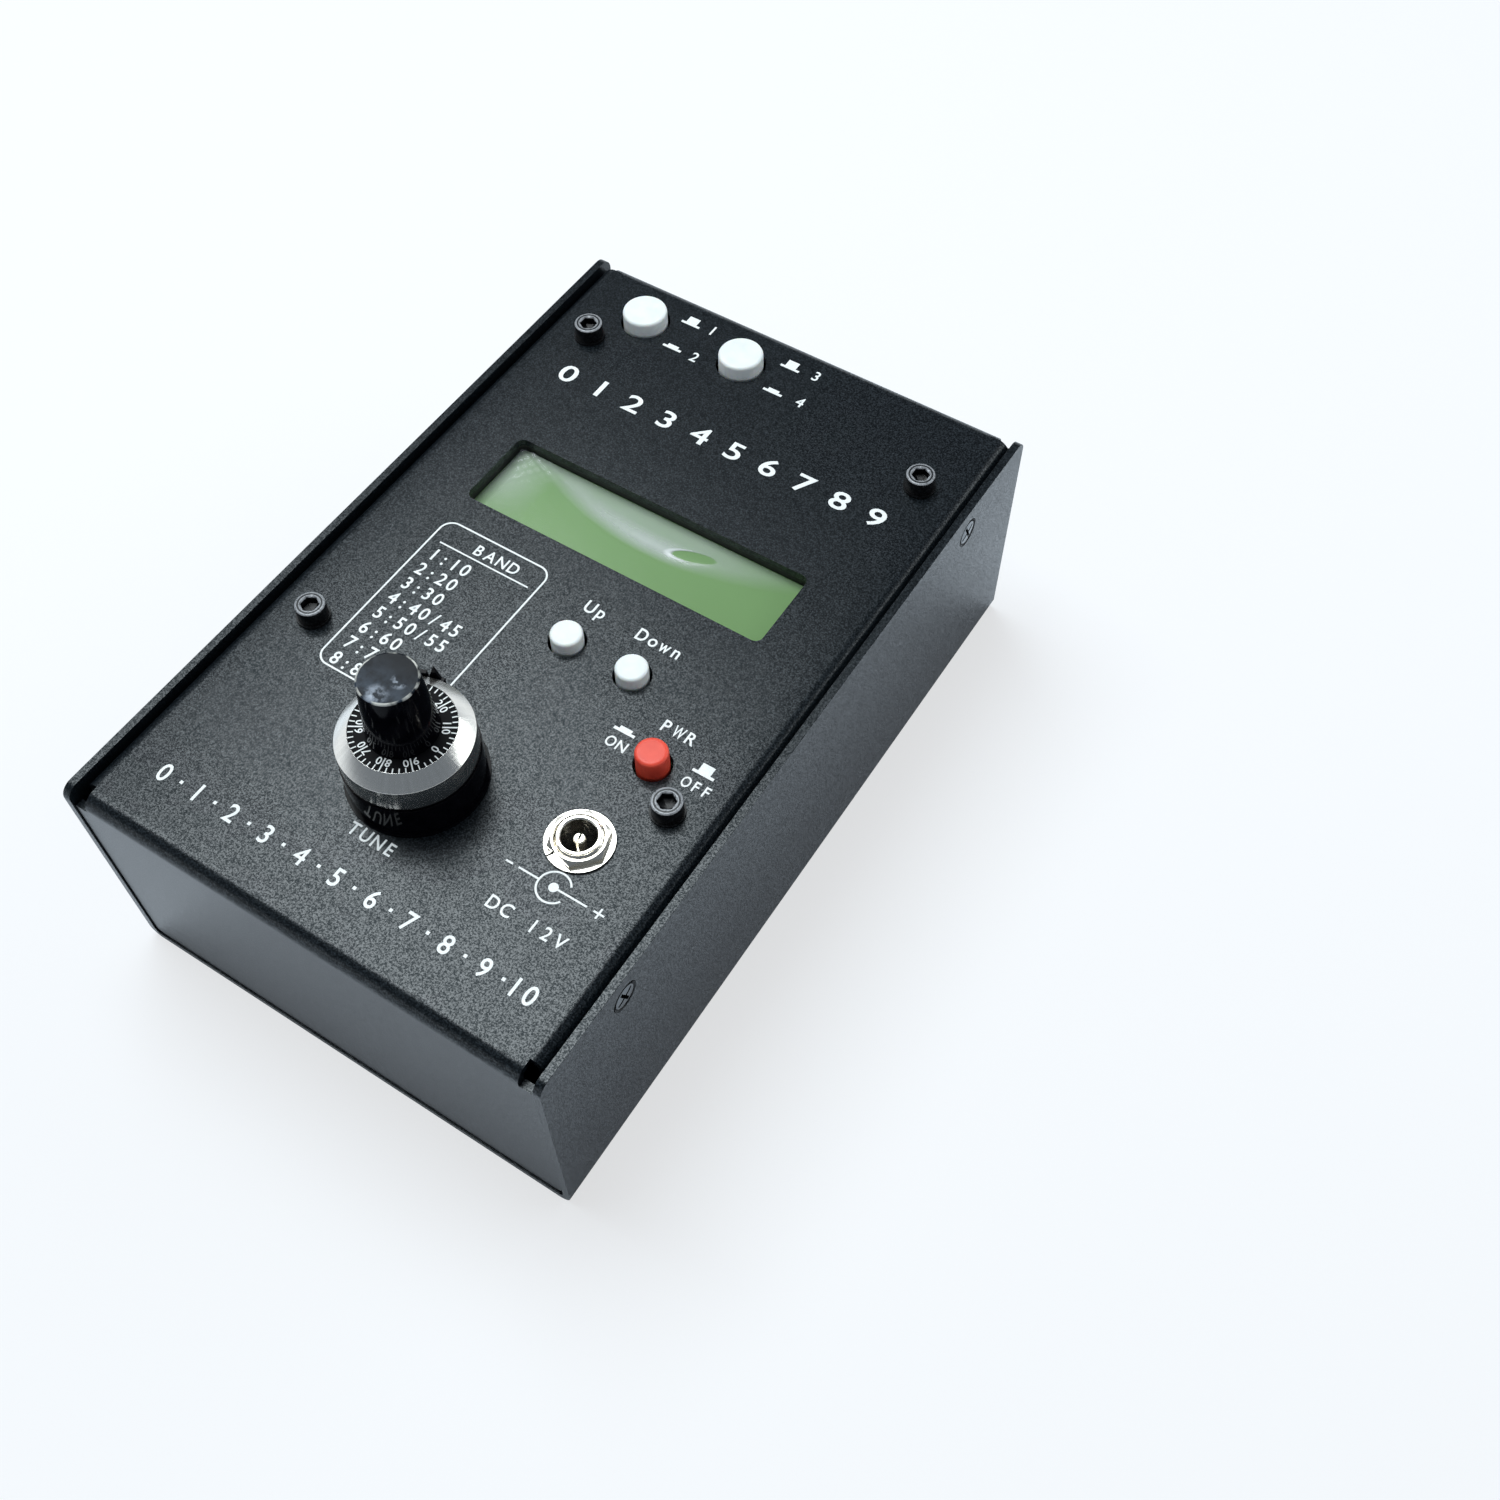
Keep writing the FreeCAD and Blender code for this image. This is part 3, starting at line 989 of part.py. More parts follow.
def dial():
    """What turns: the aluminium ring, the scale disc, the knob and its grub screw."""
    at = (*DIAL_AT, "0")
    shoulder, top = f"{PANEL_TOP} + ring_shoulder", f"{PANEL_TOP} + ring_top"
    hole_at = (*DIAL_AT, f"{RING_LOW} + grub_lift")
    access = cylinder("grub_access", "grub_radius", f"2 * {RING_RADIUS}", hole_at, TO_FAR)
    ring = turned("dial_ring", [
        (SKIRT_RADIUS, RING_LOW), (RING_RADIUS, RING_LOW), (RING_RADIUS, shoulder),
        (SCALE_RADIUS, top), (SCALE_RADIUS, SCALE_LOW), (SKIRT_RADIUS, SCALE_LOW),
    ], at)
    keep("dial_ring", cut("dial_ring", ring.body, [access]))
    disc_at = (*DIAL_AT, SCALE_LOW)
    keep("dial_scale", cut("dial_scale", cylinder("scale", SCALE_RADIUS, "scale_thickness", disc_at),
                           [cylinder("scale_hole", "knob_foot_radius", "scale_thickness", disc_at)]))
    hub, end = f"{SKIRT_LOW} - knob_hub_drop", f"{PANEL_TOP} + knob_top"
    shaft_end = f"{PANEL_TOP} + shaft_top"
    hub_outside = "shaft_radius + knob_hub_wall"
    knob = turned("dial_knob", [
        ("shaft_radius", hub), (hub_outside, hub), (hub_outside, SKIRT_LOW),
        (SKIRT_RADIUS, SKIRT_LOW), (SKIRT_RADIUS, SCALE_LOW), ("knob_foot_radius", SCALE_LOW),
        ("knob_foot_radius", SCALE_TOP), ("knob_head_radius", f"{end} - knob_chamfer"),
        ("knob_head_radius - knob_chamfer", end), ("0", end), ("0", shaft_end), ("shaft_radius", shaft_end),
    ], at)
    thread = cylinder("grub_thread", "grub_radius", RING_RADIUS, hole_at, TO_FAR)
    keep("dial_knob", cut("dial_knob", knob.body, [thread]))
    grub = cylinder("grub", "grub_radius", "shaft_radius + grub_length", hole_at, TO_FAR)
    key_at = (hole_at[0], f"{hole_at[1]} + shaft_radius + grub_length - grub_socket_depth", hole_at[2])
    key = hexagon("grub_key", "grub_socket", "2 * grub_socket_depth", key_at, TO_FAR)
    shaft_low = (*DIAL_AT, f"{hole_at[2]} - 2 * grub_radius")
    shaft_there = cylinder("grub_shaft", "shaft_radius", "4 * grub_radius", shaft_low)
    keep("dial_grub_screw", cut("dial_grub_screw", grub, [key, shaft_there]))


# ---------------------------------------------------------------- jacks

def power_inlet():
    """A metal coaxial power inlet, clamped to the panel by a nut over a lock washer."""
    at = (*INLET_AT, "0")
    seat_low = f"{PANEL_UNDER} - inlet_seat_height"
    barrel = turned("inlet_barrel", [
        ("inlet_bore_radius", INLET_TAIL), ("inlet_thread_radius", INLET_TAIL),
        ("inlet_thread_radius", seat_low), ("inlet_seat_radius", seat_low),
        ("inlet_seat_radius", PANEL_UNDER), ("inlet_thread_radius", PANEL_UNDER),
        ("inlet_thread_radius", INLET_RIM), ("inlet_bore_radius", INLET_RIM),
    ], at)
    keep("inlet_barrel", barrel.body)
    tail = f"{INLET_TAIL} - inlet_pin_tail"
    low = (*INLET_AT, INLET_TAIL)
    disc = cylinder("insulator", "inlet_bore_radius", "inlet_insulator", low)
    hole = cylinder("insulator_hole", "inlet_root_radius", "inlet_insulator", low)
    keep("inlet_insulator", cut("inlet_insulator", disc, [hole]))
    shoulder, tip = f"{INLET_SEAT} + inlet_root", f"{INLET_RIM} - inlet_pin_drop"
    pin = turned("inlet_pin", [
        ("0", tail), ("inlet_root_radius", tail), ("inlet_root_radius", shoulder),
        ("inlet_pin_radius", shoulder), ("inlet_pin_radius", tip), ("0", tip),
    ], at)
    keep("inlet_pin", pin.body)
    flat = (*INLET_AT, PANEL_TOP)
    slit = scratch("Part::Box", "washer_slit")
    slit.setExpression("Length", bound("inlet_washer_radius * 2"))
    slit.setExpression("Width", bound("washer_slit"))
    slit.setExpression("Height", bound("inlet_washer_sheet"))
    place(slit, flat, (Vec(0, 0, 1), number("washer_slit_turn")))
    ring = cylinder("inlet_washer", "inlet_washer_radius", "inlet_washer_sheet", flat)
    ring_hole = cylinder("inlet_washer_hole", "inlet_thread_radius", "inlet_washer_sheet", flat)
    keep("inlet_washer", cut("inlet_washer", ring, [ring_hole, slit]))
    on_washer = (*INLET_AT, f"{PANEL_TOP} + inlet_washer_sheet")
    turn = (Vec(0, 0, 1), number("inlet_nut_turn"))
    blank = hexagon("inlet_nut", "inlet_nut_flats", "inlet_nut_height", on_washer, turn)
    thread = cylinder("inlet_nut_thread", "inlet_thread_radius", "inlet_nut_height", on_washer)
    keep("inlet_nut", cut("inlet_nut", blank, [thread]))


def antenna_jack():
    """A flanged coaxial jack on the far end wall; its own +Z points out of the case."""
    at = ("0", COVER_END, "antenna_level")
    neck = "antenna_flange_sheet + antenna_neck"
    mouth = "antenna_reach - antenna_mouth_depth"
    hub = "cover_sheet + antenna_hub_tail"
    core = "cover_sheet + antenna_core_tail"
    shell = turned("antenna_shell", [
        ("antenna_core_radius", f"-({hub})"), ("antenna_hub_radius", f"-({hub})"),
        ("antenna_hub_radius", "0"), ("antenna_neck_radius", "0"),
        ("antenna_neck_radius", neck), ("antenna_thread_radius", neck),
        ("antenna_thread_radius", "antenna_reach"), ("antenna_mouth_radius", "antenna_reach"),
        ("antenna_mouth_radius", mouth), ("antenna_core_radius", mouth),
    ], at, TO_FAR)
    flange = shell.sketch("XY_Plane", "0")
    rectangle(flange, ("0", "0"), "antenna_flange", "antenna_flange", "antenna_flange_corner")
    circle(flange, ("0", "0"), "antenna_hub_radius")
    for across, up in CORNERS:
        spot = (f"{across} * antenna_hole_spacing / 2", f"{up} * antenna_hole_spacing / 2")
        circle(flange, spot, SCREW_HOLE)
    shell.pad(flange, "antenna_flange_sheet")
    keep("antenna_jack_shell", shell.body)

    insulator = turned("antenna_insulator", [
        ("antenna_pin_radius", f"-({core})"), ("antenna_core_radius", f"-({core})"),
        ("antenna_core_radius", mouth), ("antenna_pin_radius", mouth),
    ], at, TO_FAR)
    keep("antenna_jack_insulator", insulator.body)
    tail, front = "-(cover_sheet + antenna_pin_tail)", "antenna_reach - antenna_pin_drop"
    socket = f"{front} - antenna_pin_socket"
    contact = turned("antenna_contact", [
        ("0", tail), ("antenna_pin_radius", tail), ("antenna_pin_radius", front),
        ("antenna_pin_bore", front), ("antenna_pin_bore", socket), ("0", socket),
    ], at, TO_FAR)
    keep("antenna_jack_contact", contact.body)

    screws, nuts = [], []
    grip = "antenna_flange_sheet + cover_sheet + antenna_nut_height + antenna_screw_tail"
    for across, up in CORNERS:
        x_spot = f"{across} * antenna_hole_spacing / 2"
        z_spot = f"antenna_level + {up} * antenna_hole_spacing / 2"
        screws.append(pan_screw("antenna_screw", THREAD, "pan_head_dia / 2", "pan_head_height", grip,
                                (x_spot, f"{COVER_END} + antenna_flange_sheet", z_spot), TO_FAR))
        nut_at = (x_spot, f"{COVER_END} - cover_sheet - antenna_nut_height", z_spot)
        blank = hexagon("antenna_nut", "antenna_nut_flats", "antenna_nut_height", nut_at, TO_FAR)
        thread = cylinder("antenna_nut_thread", THREAD, "antenna_nut_height", nut_at, TO_FAR)
        nuts.append(cut("antenna_nut", blank, [thread]))
    keep("antenna_jack_screws", group("antenna_jack_screws", screws))
    keep("antenna_jack_nuts", group("antenna_jack_nuts", nuts))


def antenna_lead():
    """The wire from the jack's centre contact, bent up to the underside of the main board."""
    bend, radius = number("lead_bend"), number("lead_radius")
    start = number(f"{COVER_END} - cover_sheet - antenna_pin_tail")
    level, top = number("antenna_level"), number(BOARD_UNDER)
    corner = start - number("lead_run")
    run = Part.LineSegment(Vec(0, start, level), Vec(0, corner, level))
    middle = Vec(0, corner - bend * math.sin(math.pi / 4), level + bend * (1 - math.cos(math.pi / 4)))
    turn = Part.Arc(Vec(0, corner, level), middle, Vec(0, corner - bend, level + bend))
    rise = Part.LineSegment(Vec(0, corner - bend, level + bend), Vec(0, corner - bend, top))
    path = Part.Wire([run.toShape(), turn.toShape(), rise.toShape()])
    section = Part.Wire([Part.makeCircle(radius, Vec(0, start, level), Vec(0, 1, 0))])
    item = scratch("Part::Feature", "antenna_lead")
    item.Shape = path.makePipeShell([section], True, True)
    keep("antenna_lead", item)


# ---------------------------------------------------------------- build, check and write

def build():
    bottom_tray()
    top_cover()
    side_fasteners()
    panel_fasteners()
    main_board()
    board_parts()
    display()
    for name, (across, along, cap_radius, proud) in LATCHING.items():
        latching_switch(name, across, along, cap_radius, proud)
    for name, (across, along) in STEPPING.items():
        stepping_switch(name, across, along)
    tuning_control()
    dial_base()
    dial()
    power_inlet()
    antenna_jack()
    antenna_lead()
    DOC.recompute()


def check():
    """Stop if any object failed to recompute or any sub-part isn't a valid set of solids."""
    for item in DOC.Objects:
        if "Invalid" in item.State or "Error" in item.State:
            raise RuntimeError(f"{item.Label} failed: {item.State}")
    for name, item in SUBPARTS.items():
        shape = item.Shape
        if shape.isNull() or not shape.isValid() or not shape.Solids:
            raise RuntimeError(f"{name} has no valid solid")
        print(f"{name:24s} {len(shape.Solids)} solid(s), {shape.Volume:10.2f} mm3")


def write():
    os.makedirs("parts", exist_ok=True)
    for name, item in SUBPARTS.items():
        item.Shape.exportStep(f"parts/{name}.step")
    print(f"{len(SUBPARTS)} sub-parts written")


build()
check()
write()
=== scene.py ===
# %% [markdown]
# # Dressing an antenna analyzer
# A folded steel case holds a display, five push buttons, a turns-counting dial, a power inlet and
# an antenna jack. The solids come from a CAD model that is loaded as a fixed frame. Each shape
# that needs finer edges than the CAD model has is made again here, in the place of its solid, and
# everything gets a finish built from nodes. Working in millimetres keeps the numbers readable, so
# one factor turns them into Blender's metres at the very end.

import math

import bmesh
import bpy
import numpy as np
from mathutils import Matrix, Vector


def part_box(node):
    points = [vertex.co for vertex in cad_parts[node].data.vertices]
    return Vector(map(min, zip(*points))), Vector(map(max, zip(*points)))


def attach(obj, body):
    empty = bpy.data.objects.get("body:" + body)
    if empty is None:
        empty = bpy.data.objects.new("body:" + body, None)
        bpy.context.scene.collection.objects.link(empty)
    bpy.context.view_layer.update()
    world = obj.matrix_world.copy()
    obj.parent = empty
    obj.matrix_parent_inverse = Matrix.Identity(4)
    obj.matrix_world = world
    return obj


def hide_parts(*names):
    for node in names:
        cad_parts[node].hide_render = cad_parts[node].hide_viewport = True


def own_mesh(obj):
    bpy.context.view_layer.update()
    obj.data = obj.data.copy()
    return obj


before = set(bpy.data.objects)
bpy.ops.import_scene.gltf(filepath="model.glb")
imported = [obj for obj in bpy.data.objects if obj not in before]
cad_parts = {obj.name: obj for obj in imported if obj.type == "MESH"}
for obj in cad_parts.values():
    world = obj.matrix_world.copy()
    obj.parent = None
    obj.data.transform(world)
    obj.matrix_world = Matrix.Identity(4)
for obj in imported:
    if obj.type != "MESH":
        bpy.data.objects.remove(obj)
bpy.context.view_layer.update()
MM = 0.001


def box_of(node):
    """Lowest and highest corner of a CAD node, in millimetres."""
    return np.array(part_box(node)) / MM


def middle_of(node):
    """Centre of a CAD node's box: (lowest corner + highest corner) / 2, in millimetres."""
    return box_of(node).mean(axis=0)


panel_top = box_of("top_cover")[1][2]
dial_axis = middle_of("dial_ring")
print("CAD nodes:", len(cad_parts), "panel top at", round(panel_top, 2), "mm")

# %% [markdown]
# ## The camera
# The viewing angle is three numbers that anyone can check: how far round the object the camera
# stands, how high it looks down from, and how far away it is. A matrix built from those angles is
# safer than typed-in rotations, because each number has a meaning of its own.

# %% Camera
AZIMUTH, ELEVATION, ROLL = 32.7819, 56.7807, -0.3373
DISTANCE = 335.7393
AIM = np.array([24.7007, 18.069, 0.0])
FRAME_PIXELS, FOCAL_PIXELS, SENSOR = 1500, 1647.3489, 36.0


def camera_axes(azimuth, elevation, roll):
    """Unit vectors right, up and back of a camera that circles the Z axis.

    Back points from the object to the camera; right lies level, and both turn by the roll."""
    a, e, r = np.radians([azimuth, elevation, roll])
    back = np.array([np.sin(a) * np.cos(e), -np.cos(a) * np.cos(e), np.sin(e)])
    level = np.array([np.cos(a), np.sin(a), 0.0])
    upward = np.cross(back, level)
    right = np.cos(r) * level + np.sin(r) * upward
    return right, np.cross(back, right), back


right, up, back = camera_axes(AZIMUTH, ELEVATION, ROLL)
eye = bpy.data.objects.new("camera", bpy.data.cameras.new("camera"))
bpy.context.scene.collection.objects.link(eye)
eye.data.sensor_width = SENSOR
eye.data.lens = FOCAL_PIXELS / FRAME_PIXELS * SENSOR
turn = Matrix(np.stack([right, up, back], axis=1).tolist()).to_4x4()
eye.matrix_world = Matrix.Translation(((AIM + DISTANCE * back) * MM).tolist()) @ turn
bpy.context.scene.camera = eye
bpy.context.scene.view_settings.view_transform = "Standard"
print("camera at", [round(v, 1) for v in AIM + DISTANCE * back], "lens", round(eye.data.lens, 2))

# %% [markdown]
# ## Writing node trees as sums
# A finish is a small calculation: "this much dust here, that much shine there". Wiring Math nodes
# one by one hides the calculation, so a socket is wrapped in a class whose + - * / each add one
# Math node. Then a mask reads like the formula that it is, and 1 - mask works as well.

# %% Sockets that can be added and multiplied
class Signal:
    """One output socket with arithmetic: every operator adds the Math node of that name."""

    def __init__(self, finish, socket):
        self.finish, self.socket = finish, socket

    def maths(self, operation, *values, clamp=False):
        ports = dict(enumerate(values))
        return self.finish.node("ShaderNodeMath", ports, operation=operation, use_clamp=clamp)

    def __add__(self, other):
        return self.maths("ADD", self, other)

    def __sub__(self, other):
        return self.maths("SUBTRACT", self, other)

    def __rsub__(self, other):
        return self.maths("SUBTRACT", other, self)

    def __mul__(self, other):
        return self.maths("MULTIPLY", self, other)

    def __truediv__(self, other):
        return self.maths("DIVIDE", self, other)

    def __pow__(self, other):
        return self.maths("POWER", self, other)

    def __abs__(self):
        return self.maths("ABSOLUTE", self)

    def above(self, low, high):
        """0 below low, 1 above high, and a straight climb between them."""
        slope = 1 / (high - low)
        return self.maths("MULTIPLY_ADD", self, slope, -low * slope, clamp=True)

    __radd__, __rmul__ = __add__, __mul__


def length(across, along):
    """Length of a step: the root of across squared plus along squared."""
    return (across * across + along * along) ** 0.5


class Finish:
    """A node tree being built. node() adds any node; surface() ends a material with a shader."""

    def __init__(self, name, family="materials"):
        self.owner = getattr(bpy.data, family).new(name)
        self.owner.use_nodes = True
        self.tree = self.owner.node_tree
        self.tree.nodes.clear()
        self.place = self.node("ShaderNodeTexCoord", output="Object")

    def feed(self, socket, value):
        if isinstance(value, Signal):
            self.tree.links.new(value.socket, socket)
        else:
            socket.default_value = value

    def node(self, kind, ports=None, output=0, stops=None, **settings):
        """Add a node: settings first, then ramp stops (place, grey or colour), then its sockets."""
        made = self.tree.nodes.new(kind)
        for key, value in settings.items():
            setattr(made, key, value)
        for number, (where, colour) in enumerate(stops or []):
            ramp = made.color_ramp.elements
            spot = ramp[number] if number < 2 else ramp.new(where)
            spot.position, spot.color = where, (*colour, 1.0)
        for key, value in (ports or {}).items():
            self.feed(made.inputs[key], value)
        return Signal(self, made.outputs[output])

    def ray(self, kind):
        """1 where a ray of this kind asks, and 0 elsewhere: Camera, Glossy or Transmission."""
        return self.node("ShaderNodeLightPath", output=f"Is {kind} Ray")

    def noise(self, size, detail=2.0, roughness=0.5, seed=0.0):
        """Cloudy noise whose blobs are about size millimetres across; a seed gives other blobs."""
        place = self.place
        if seed:
            ports = {"Vector": place, "Location": [seed * MM] * 3}
            place = self.node("ShaderNodeMapping", ports, vector_type="POINT")
        ports = {"Vector": place, "Scale": 1 / (size * MM)}
        return self.node("ShaderNodeTexNoise", {**ports, "Detail": detail, "Roughness": roughness})

    def cells(self, size):
        """Distance from the nearest border of cells that are about size millimetres across."""
        ports = {"Vector": self.place, "Scale": 1 / (size * MM)}
        return self.node("ShaderNodeTexVoronoi", ports, output="Distance",
                         feature="DISTANCE_TO_EDGE")

    def coordinate(self, letter):
        """One Object coordinate, in millimetres."""
        return self.node("ShaderNodeSeparateXYZ", {0: self.place}, output=letter) / MM

    def from_axis(self, x, y):
        """Distance in millimetres from an upright axis through x, y."""
        return length(self.coordinate("X") - x, self.coordinate("Y") - y)

    def blend(self, share, first, second):
        """Colour mix: first where share is 0, second where it is 1."""
        colours = [c if isinstance(c, Signal) else (*c, 1.0) for c in (first, second)]
        ports = {0: share, 6: colours[0], 7: colours[1]}
        return self.node("ShaderNodeMix", ports, output=2, data_type="RGBA")

    def bump(self, height, depth):
        """A Bump node: height 1 stands depth millimetres above height 0."""
        ports = {"Height": height, "Distance": depth * MM, "Strength": 1.0}
        return self.node("ShaderNodeBump", ports, output="Normal")

    def principled(self, colour, roughness, normal=None, **constants):
        ports = {"Base Color": colour if isinstance(colour, Signal) else (*colour, 1.0)}
        ports["Roughness"] = roughness
        if normal:
            ports["Normal"] = normal
        for key, value in constants.items():
            ports[key.replace("_", " ").title().replace("Ior", "IOR")] = value
        return self.node("ShaderNodeBsdfPrincipled", ports)

    def output(self, shader, kind="ShaderNodeOutputMaterial"):
        """End the tree with its output node, and say how many nodes it took."""
        self.feed(self.tree.nodes.new(kind).inputs["Surface"], shader)
        print(f"{self.owner.name}: {len(self.tree.nodes)} nodes")
        return self.owner

    def surface(self, colour, roughness, normal=None, **constants):
        return self.output(self.principled(colour, roughness, normal, **constants))


print("shader arithmetic ready")

# %% [markdown]
# ## Floor, sky and lamps
# A plain pale table, so the floor is white and keeps the soft shadow. The white around the object
# is a property of the floor and the sky as the camera and mirrors see them, never extra light:
# Light Path tells which rays ask. The sky that lights the object is dark above and pale along the
# horizon behind it, as in a room with pale walls, which gives polished metal something to show.

# %% Floor and sky
FLOOR_SIZE, FLOOR_DROP = 3000.0, 0.05
half = FLOOR_SIZE / 2
table_top = bpy.data.meshes.new("table_top")
corners = np.array([[-half, -half], [half, -half], [half, half], [-half, half]])
corners = np.column_stack([corners, np.full(4, -FLOOR_DROP)]) * MM
table_top.from_pydata(corners.tolist(), [], [(0, 1, 2, 3)])
floor = bpy.data.objects.new("table_top", table_top)
bpy.context.scene.collection.objects.link(floor)

WHITE_SEEN, WHITE_MIRRORED = 0.66, 0.08
PAPER = (0.84, 0.90, 0.98)
WHITE = (1.0, 1.0, 1.0)
paper = Finish("pale_table")
mirrored = paper.ray("Glossy") + paper.ray("Transmission")
seen = paper.ray("Camera") * WHITE_SEEN + mirrored * WHITE_MIRRORED
lit = paper.principled(PAPER, 0.7)
white = paper.node("ShaderNodeEmission", {"Color": (*WHITE, 1.0), "Strength": 1.0})
shown = paper.node("ShaderNodeMixShader", {0: seen, 1: lit, 2: white})
table_top.materials.append(paper.output(shown))

STRAIGHT_DOWN = (0.0, 0.0, -1.0)
SKY_TONES = [
    # share of the way from straight up, 0, by the horizon, 0.5, to straight down, 1; colour
    (0.0, (0.130, 0.150, 0.172)),
    (0.31, (0.135, 0.156, 0.178)),
    (0.41, (0.80, 0.86, 0.90)),
    (0.5, (0.93, 0.98, 1.00)),
]
sky = Finish("soft_sky", family="worlds")
bpy.context.scene.world = sky.owner
direction = sky.node("ShaderNodeTexCoord", output="Generated")
ports = {0: direction, 1: STRAIGHT_DOWN}
downward = sky.node("ShaderNodeVectorMath", ports, output="Value", operation="DOT_PRODUCT")
share = sky.node("ShaderNodeMapRange", {"Value": downward, "From Min": -1.0}, output="Result")
tones = sky.node("ShaderNodeValToRGB", {0: share}, stops=SKY_TONES)
glow = sky.node("ShaderNodeBackground", {"Color": sky.blend(sky.ray("Camera"), tones, WHITE)})
sky.output(glow, "ShaderNodeOutputWorld")
print("floor", FLOOR_SIZE * MM, "m across; sky made")

# %% Lamps
LAMPS = [
    # name, place (mm), size (mm), watts, colour
    ("ceiling", (-320, 110, 940), (650, 650), 9.4, (0.92, 0.985, 1.0)),
    ("far", (560, 700, 540), (1000, 300), 2.0, (0.95, 1.0, 1.0)),
]
for name, place, (wide, long), watts, colour in LAMPS:
    data = bpy.data.lights.new(name, "AREA")
    data.shape, data.size, data.size_y = "RECTANGLE", wide * MM, long * MM
    data.energy, data.color = watts, colour
    lamp = bpy.data.objects.new(name, data)
    aim = Matrix.Translation([p * MM for p in place])
    lamp.matrix_world = aim @ aim.to_translation().to_track_quat("Z", "Y").to_matrix().to_4x4()
    bpy.context.scene.collection.objects.link(lamp)
print("lamps:", [lamp[0] for lamp in LAMPS])

# %% [markdown]
# ## Surfaces from arrays
# Every new shape is a grid of points: rows run along a section, columns run round an axis or
# along a path. numpy works out all the points at once, and quads join neighbours. Where a section
# starts on the axis, its whole row falls on one point, which is merged, so that the pole closes.

# %% Grids, turned shapes and pieces
AROUND = 144
WELD = 1e-7
CREASE = 38.0


def quads(rows, columns, loop=False):
    """Quads between neighbours of a grid whose columns run full circle, and whose rows may."""
    i = np.arange(rows if loop else rows - 1)[:, None] * np.ones(columns, int)
    j = np.arange(columns)[None, :] + 0 * i
    i2, j2 = (i + 1) % rows, (j + 1) % columns
    index = [i * columns + j, i * columns + j2, i2 * columns + j2, i2 * columns + j]
    return np.stack(index, axis=-1).reshape(-1, 4)


def turned(radius, height, loop=False, start=0.0, around=AROUND):
    """A turned surface: point (i, j) is (r cos a, r sin a, z), with a evenly spaced round a turn.

    Radius and height have one row per point of the section, and may differ with the angle."""
    radius, height = (np.atleast_2d(np.asarray(v, float)) for v in (radius, height))
    radius, height = (v.T if v.shape[0] == 1 else v for v in (radius, height))
    angle = start + np.arange(around) * 2 * np.pi / around
    flat = np.broadcast_arrays(radius * np.cos(angle), radius * np.sin(angle), height + 0 * angle)
    return np.stack(flat, axis=-1).reshape(-1, 3), quads(len(flat[0]), around, loop)


def rounded(corners, steps=4):
    """A section with rounded corners, from (r, z, radius) triples.

    Each corner is a quadratic blend that leaves the two edges where an arc would touch them."""
    places = np.array([c[:2] for c in corners], float)
    before, after = np.roll(places, 1, 0), np.roll(places, -1, 0)
    line = []
    for here, last, following, corner in zip(places, before, after, corners):
        radius = corner[2] if len(corner) > 2 else 0
        if not radius:
            line.append(here[None])
            continue
        into = (here - last) / np.linalg.norm(here - last)
        away = (following - here) / np.linalg.norm(following - here)
        reach = radius * math.tan(math.acos(np.clip(into @ away, -1, 1)) / 2)
        first, final = here - into * reach, here + away * reach
        t = np.linspace(0, 1, steps + 1)[:, None]
        line.append((1 - t) ** 2 * first + 2 * t * (1 - t) * here + t**2 * final)
    return np.concatenate(line)


def lathed(corners, loop=False, steps=4, around=AROUND):
    """A turned solid from the rounded corners of its section."""
    section = rounded(corners, steps)
    return turned(section[:, 0], section[:, 1], loop, around=around)


def prism(outline, low, high):
    """A solid with a convex outline, between two levels: its sides, then its two lids."""
    count = len(outline)
    rings = np.vstack([np.column_stack([outline, np.full(count, z)]) for z in (low, high)])
    fan = np.array([[0, k, k + 1] for k in range(1, count - 1)])
    return [(rings, quads(2, count)), (rings, np.vstack([fan[:, ::-1], fan + count]))]


def moved(part, at):
    """The same part with every point moved."""
    return part[0] + np.asarray(at, float), part[1]


def tipped(part):
    """The part turned so that its +Z points to the far end: (x, y, z) becomes (x, z, -y)."""
    points = part[0]
    return np.stack([points[:, 0], points[:, 2], -points[:, 1]], axis=-1), part[1]


def creased(mesh, degrees=CREASE):
    """Smooth shading, with edges sharper than so many degrees kept sharp."""
    mesh.shade_smooth()
    mesh.set_sharp_from_angle(angle=math.radians(degrees))


def piece(name, parts, finish, crease=CREASE):
    """One object from several parts, in millimetres: doubles merged, faces out, edges marked."""
    points, faces, start = [], [], 0
    for part_points, part_faces in parts:
        points.append(part_points)
        faces += (part_faces + start).tolist()
        start += len(part_points)
    mesh = bpy.data.meshes.new(name)
    mesh.from_pydata((np.concatenate(points) * MM).tolist(), [], faces)
    form = bmesh.new()
    form.from_mesh(mesh)
    bmesh.ops.remove_doubles(form, verts=form.verts, dist=WELD)
    volume = form.calc_volume(signed=True) / MM**3
    if volume < 0:
        bmesh.ops.reverse_faces(form, faces=form.faces)
    form.to_mesh(mesh)
    form.free()
    mesh.materials.append(finish)
    creased(mesh, crease)
    made = bpy.data.objects.new(name, mesh)
    bpy.context.scene.collection.objects.link(made)
    print(f"{name}: {len(mesh.polygons)} faces, {volume:.2f} mm3")
    return made


def stand_for(made, body, slot, *nodes):
    """Ride on a body and stand for CAD nodes. The slot is not used."""
    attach(made, body)
    if nodes:
        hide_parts(*nodes)


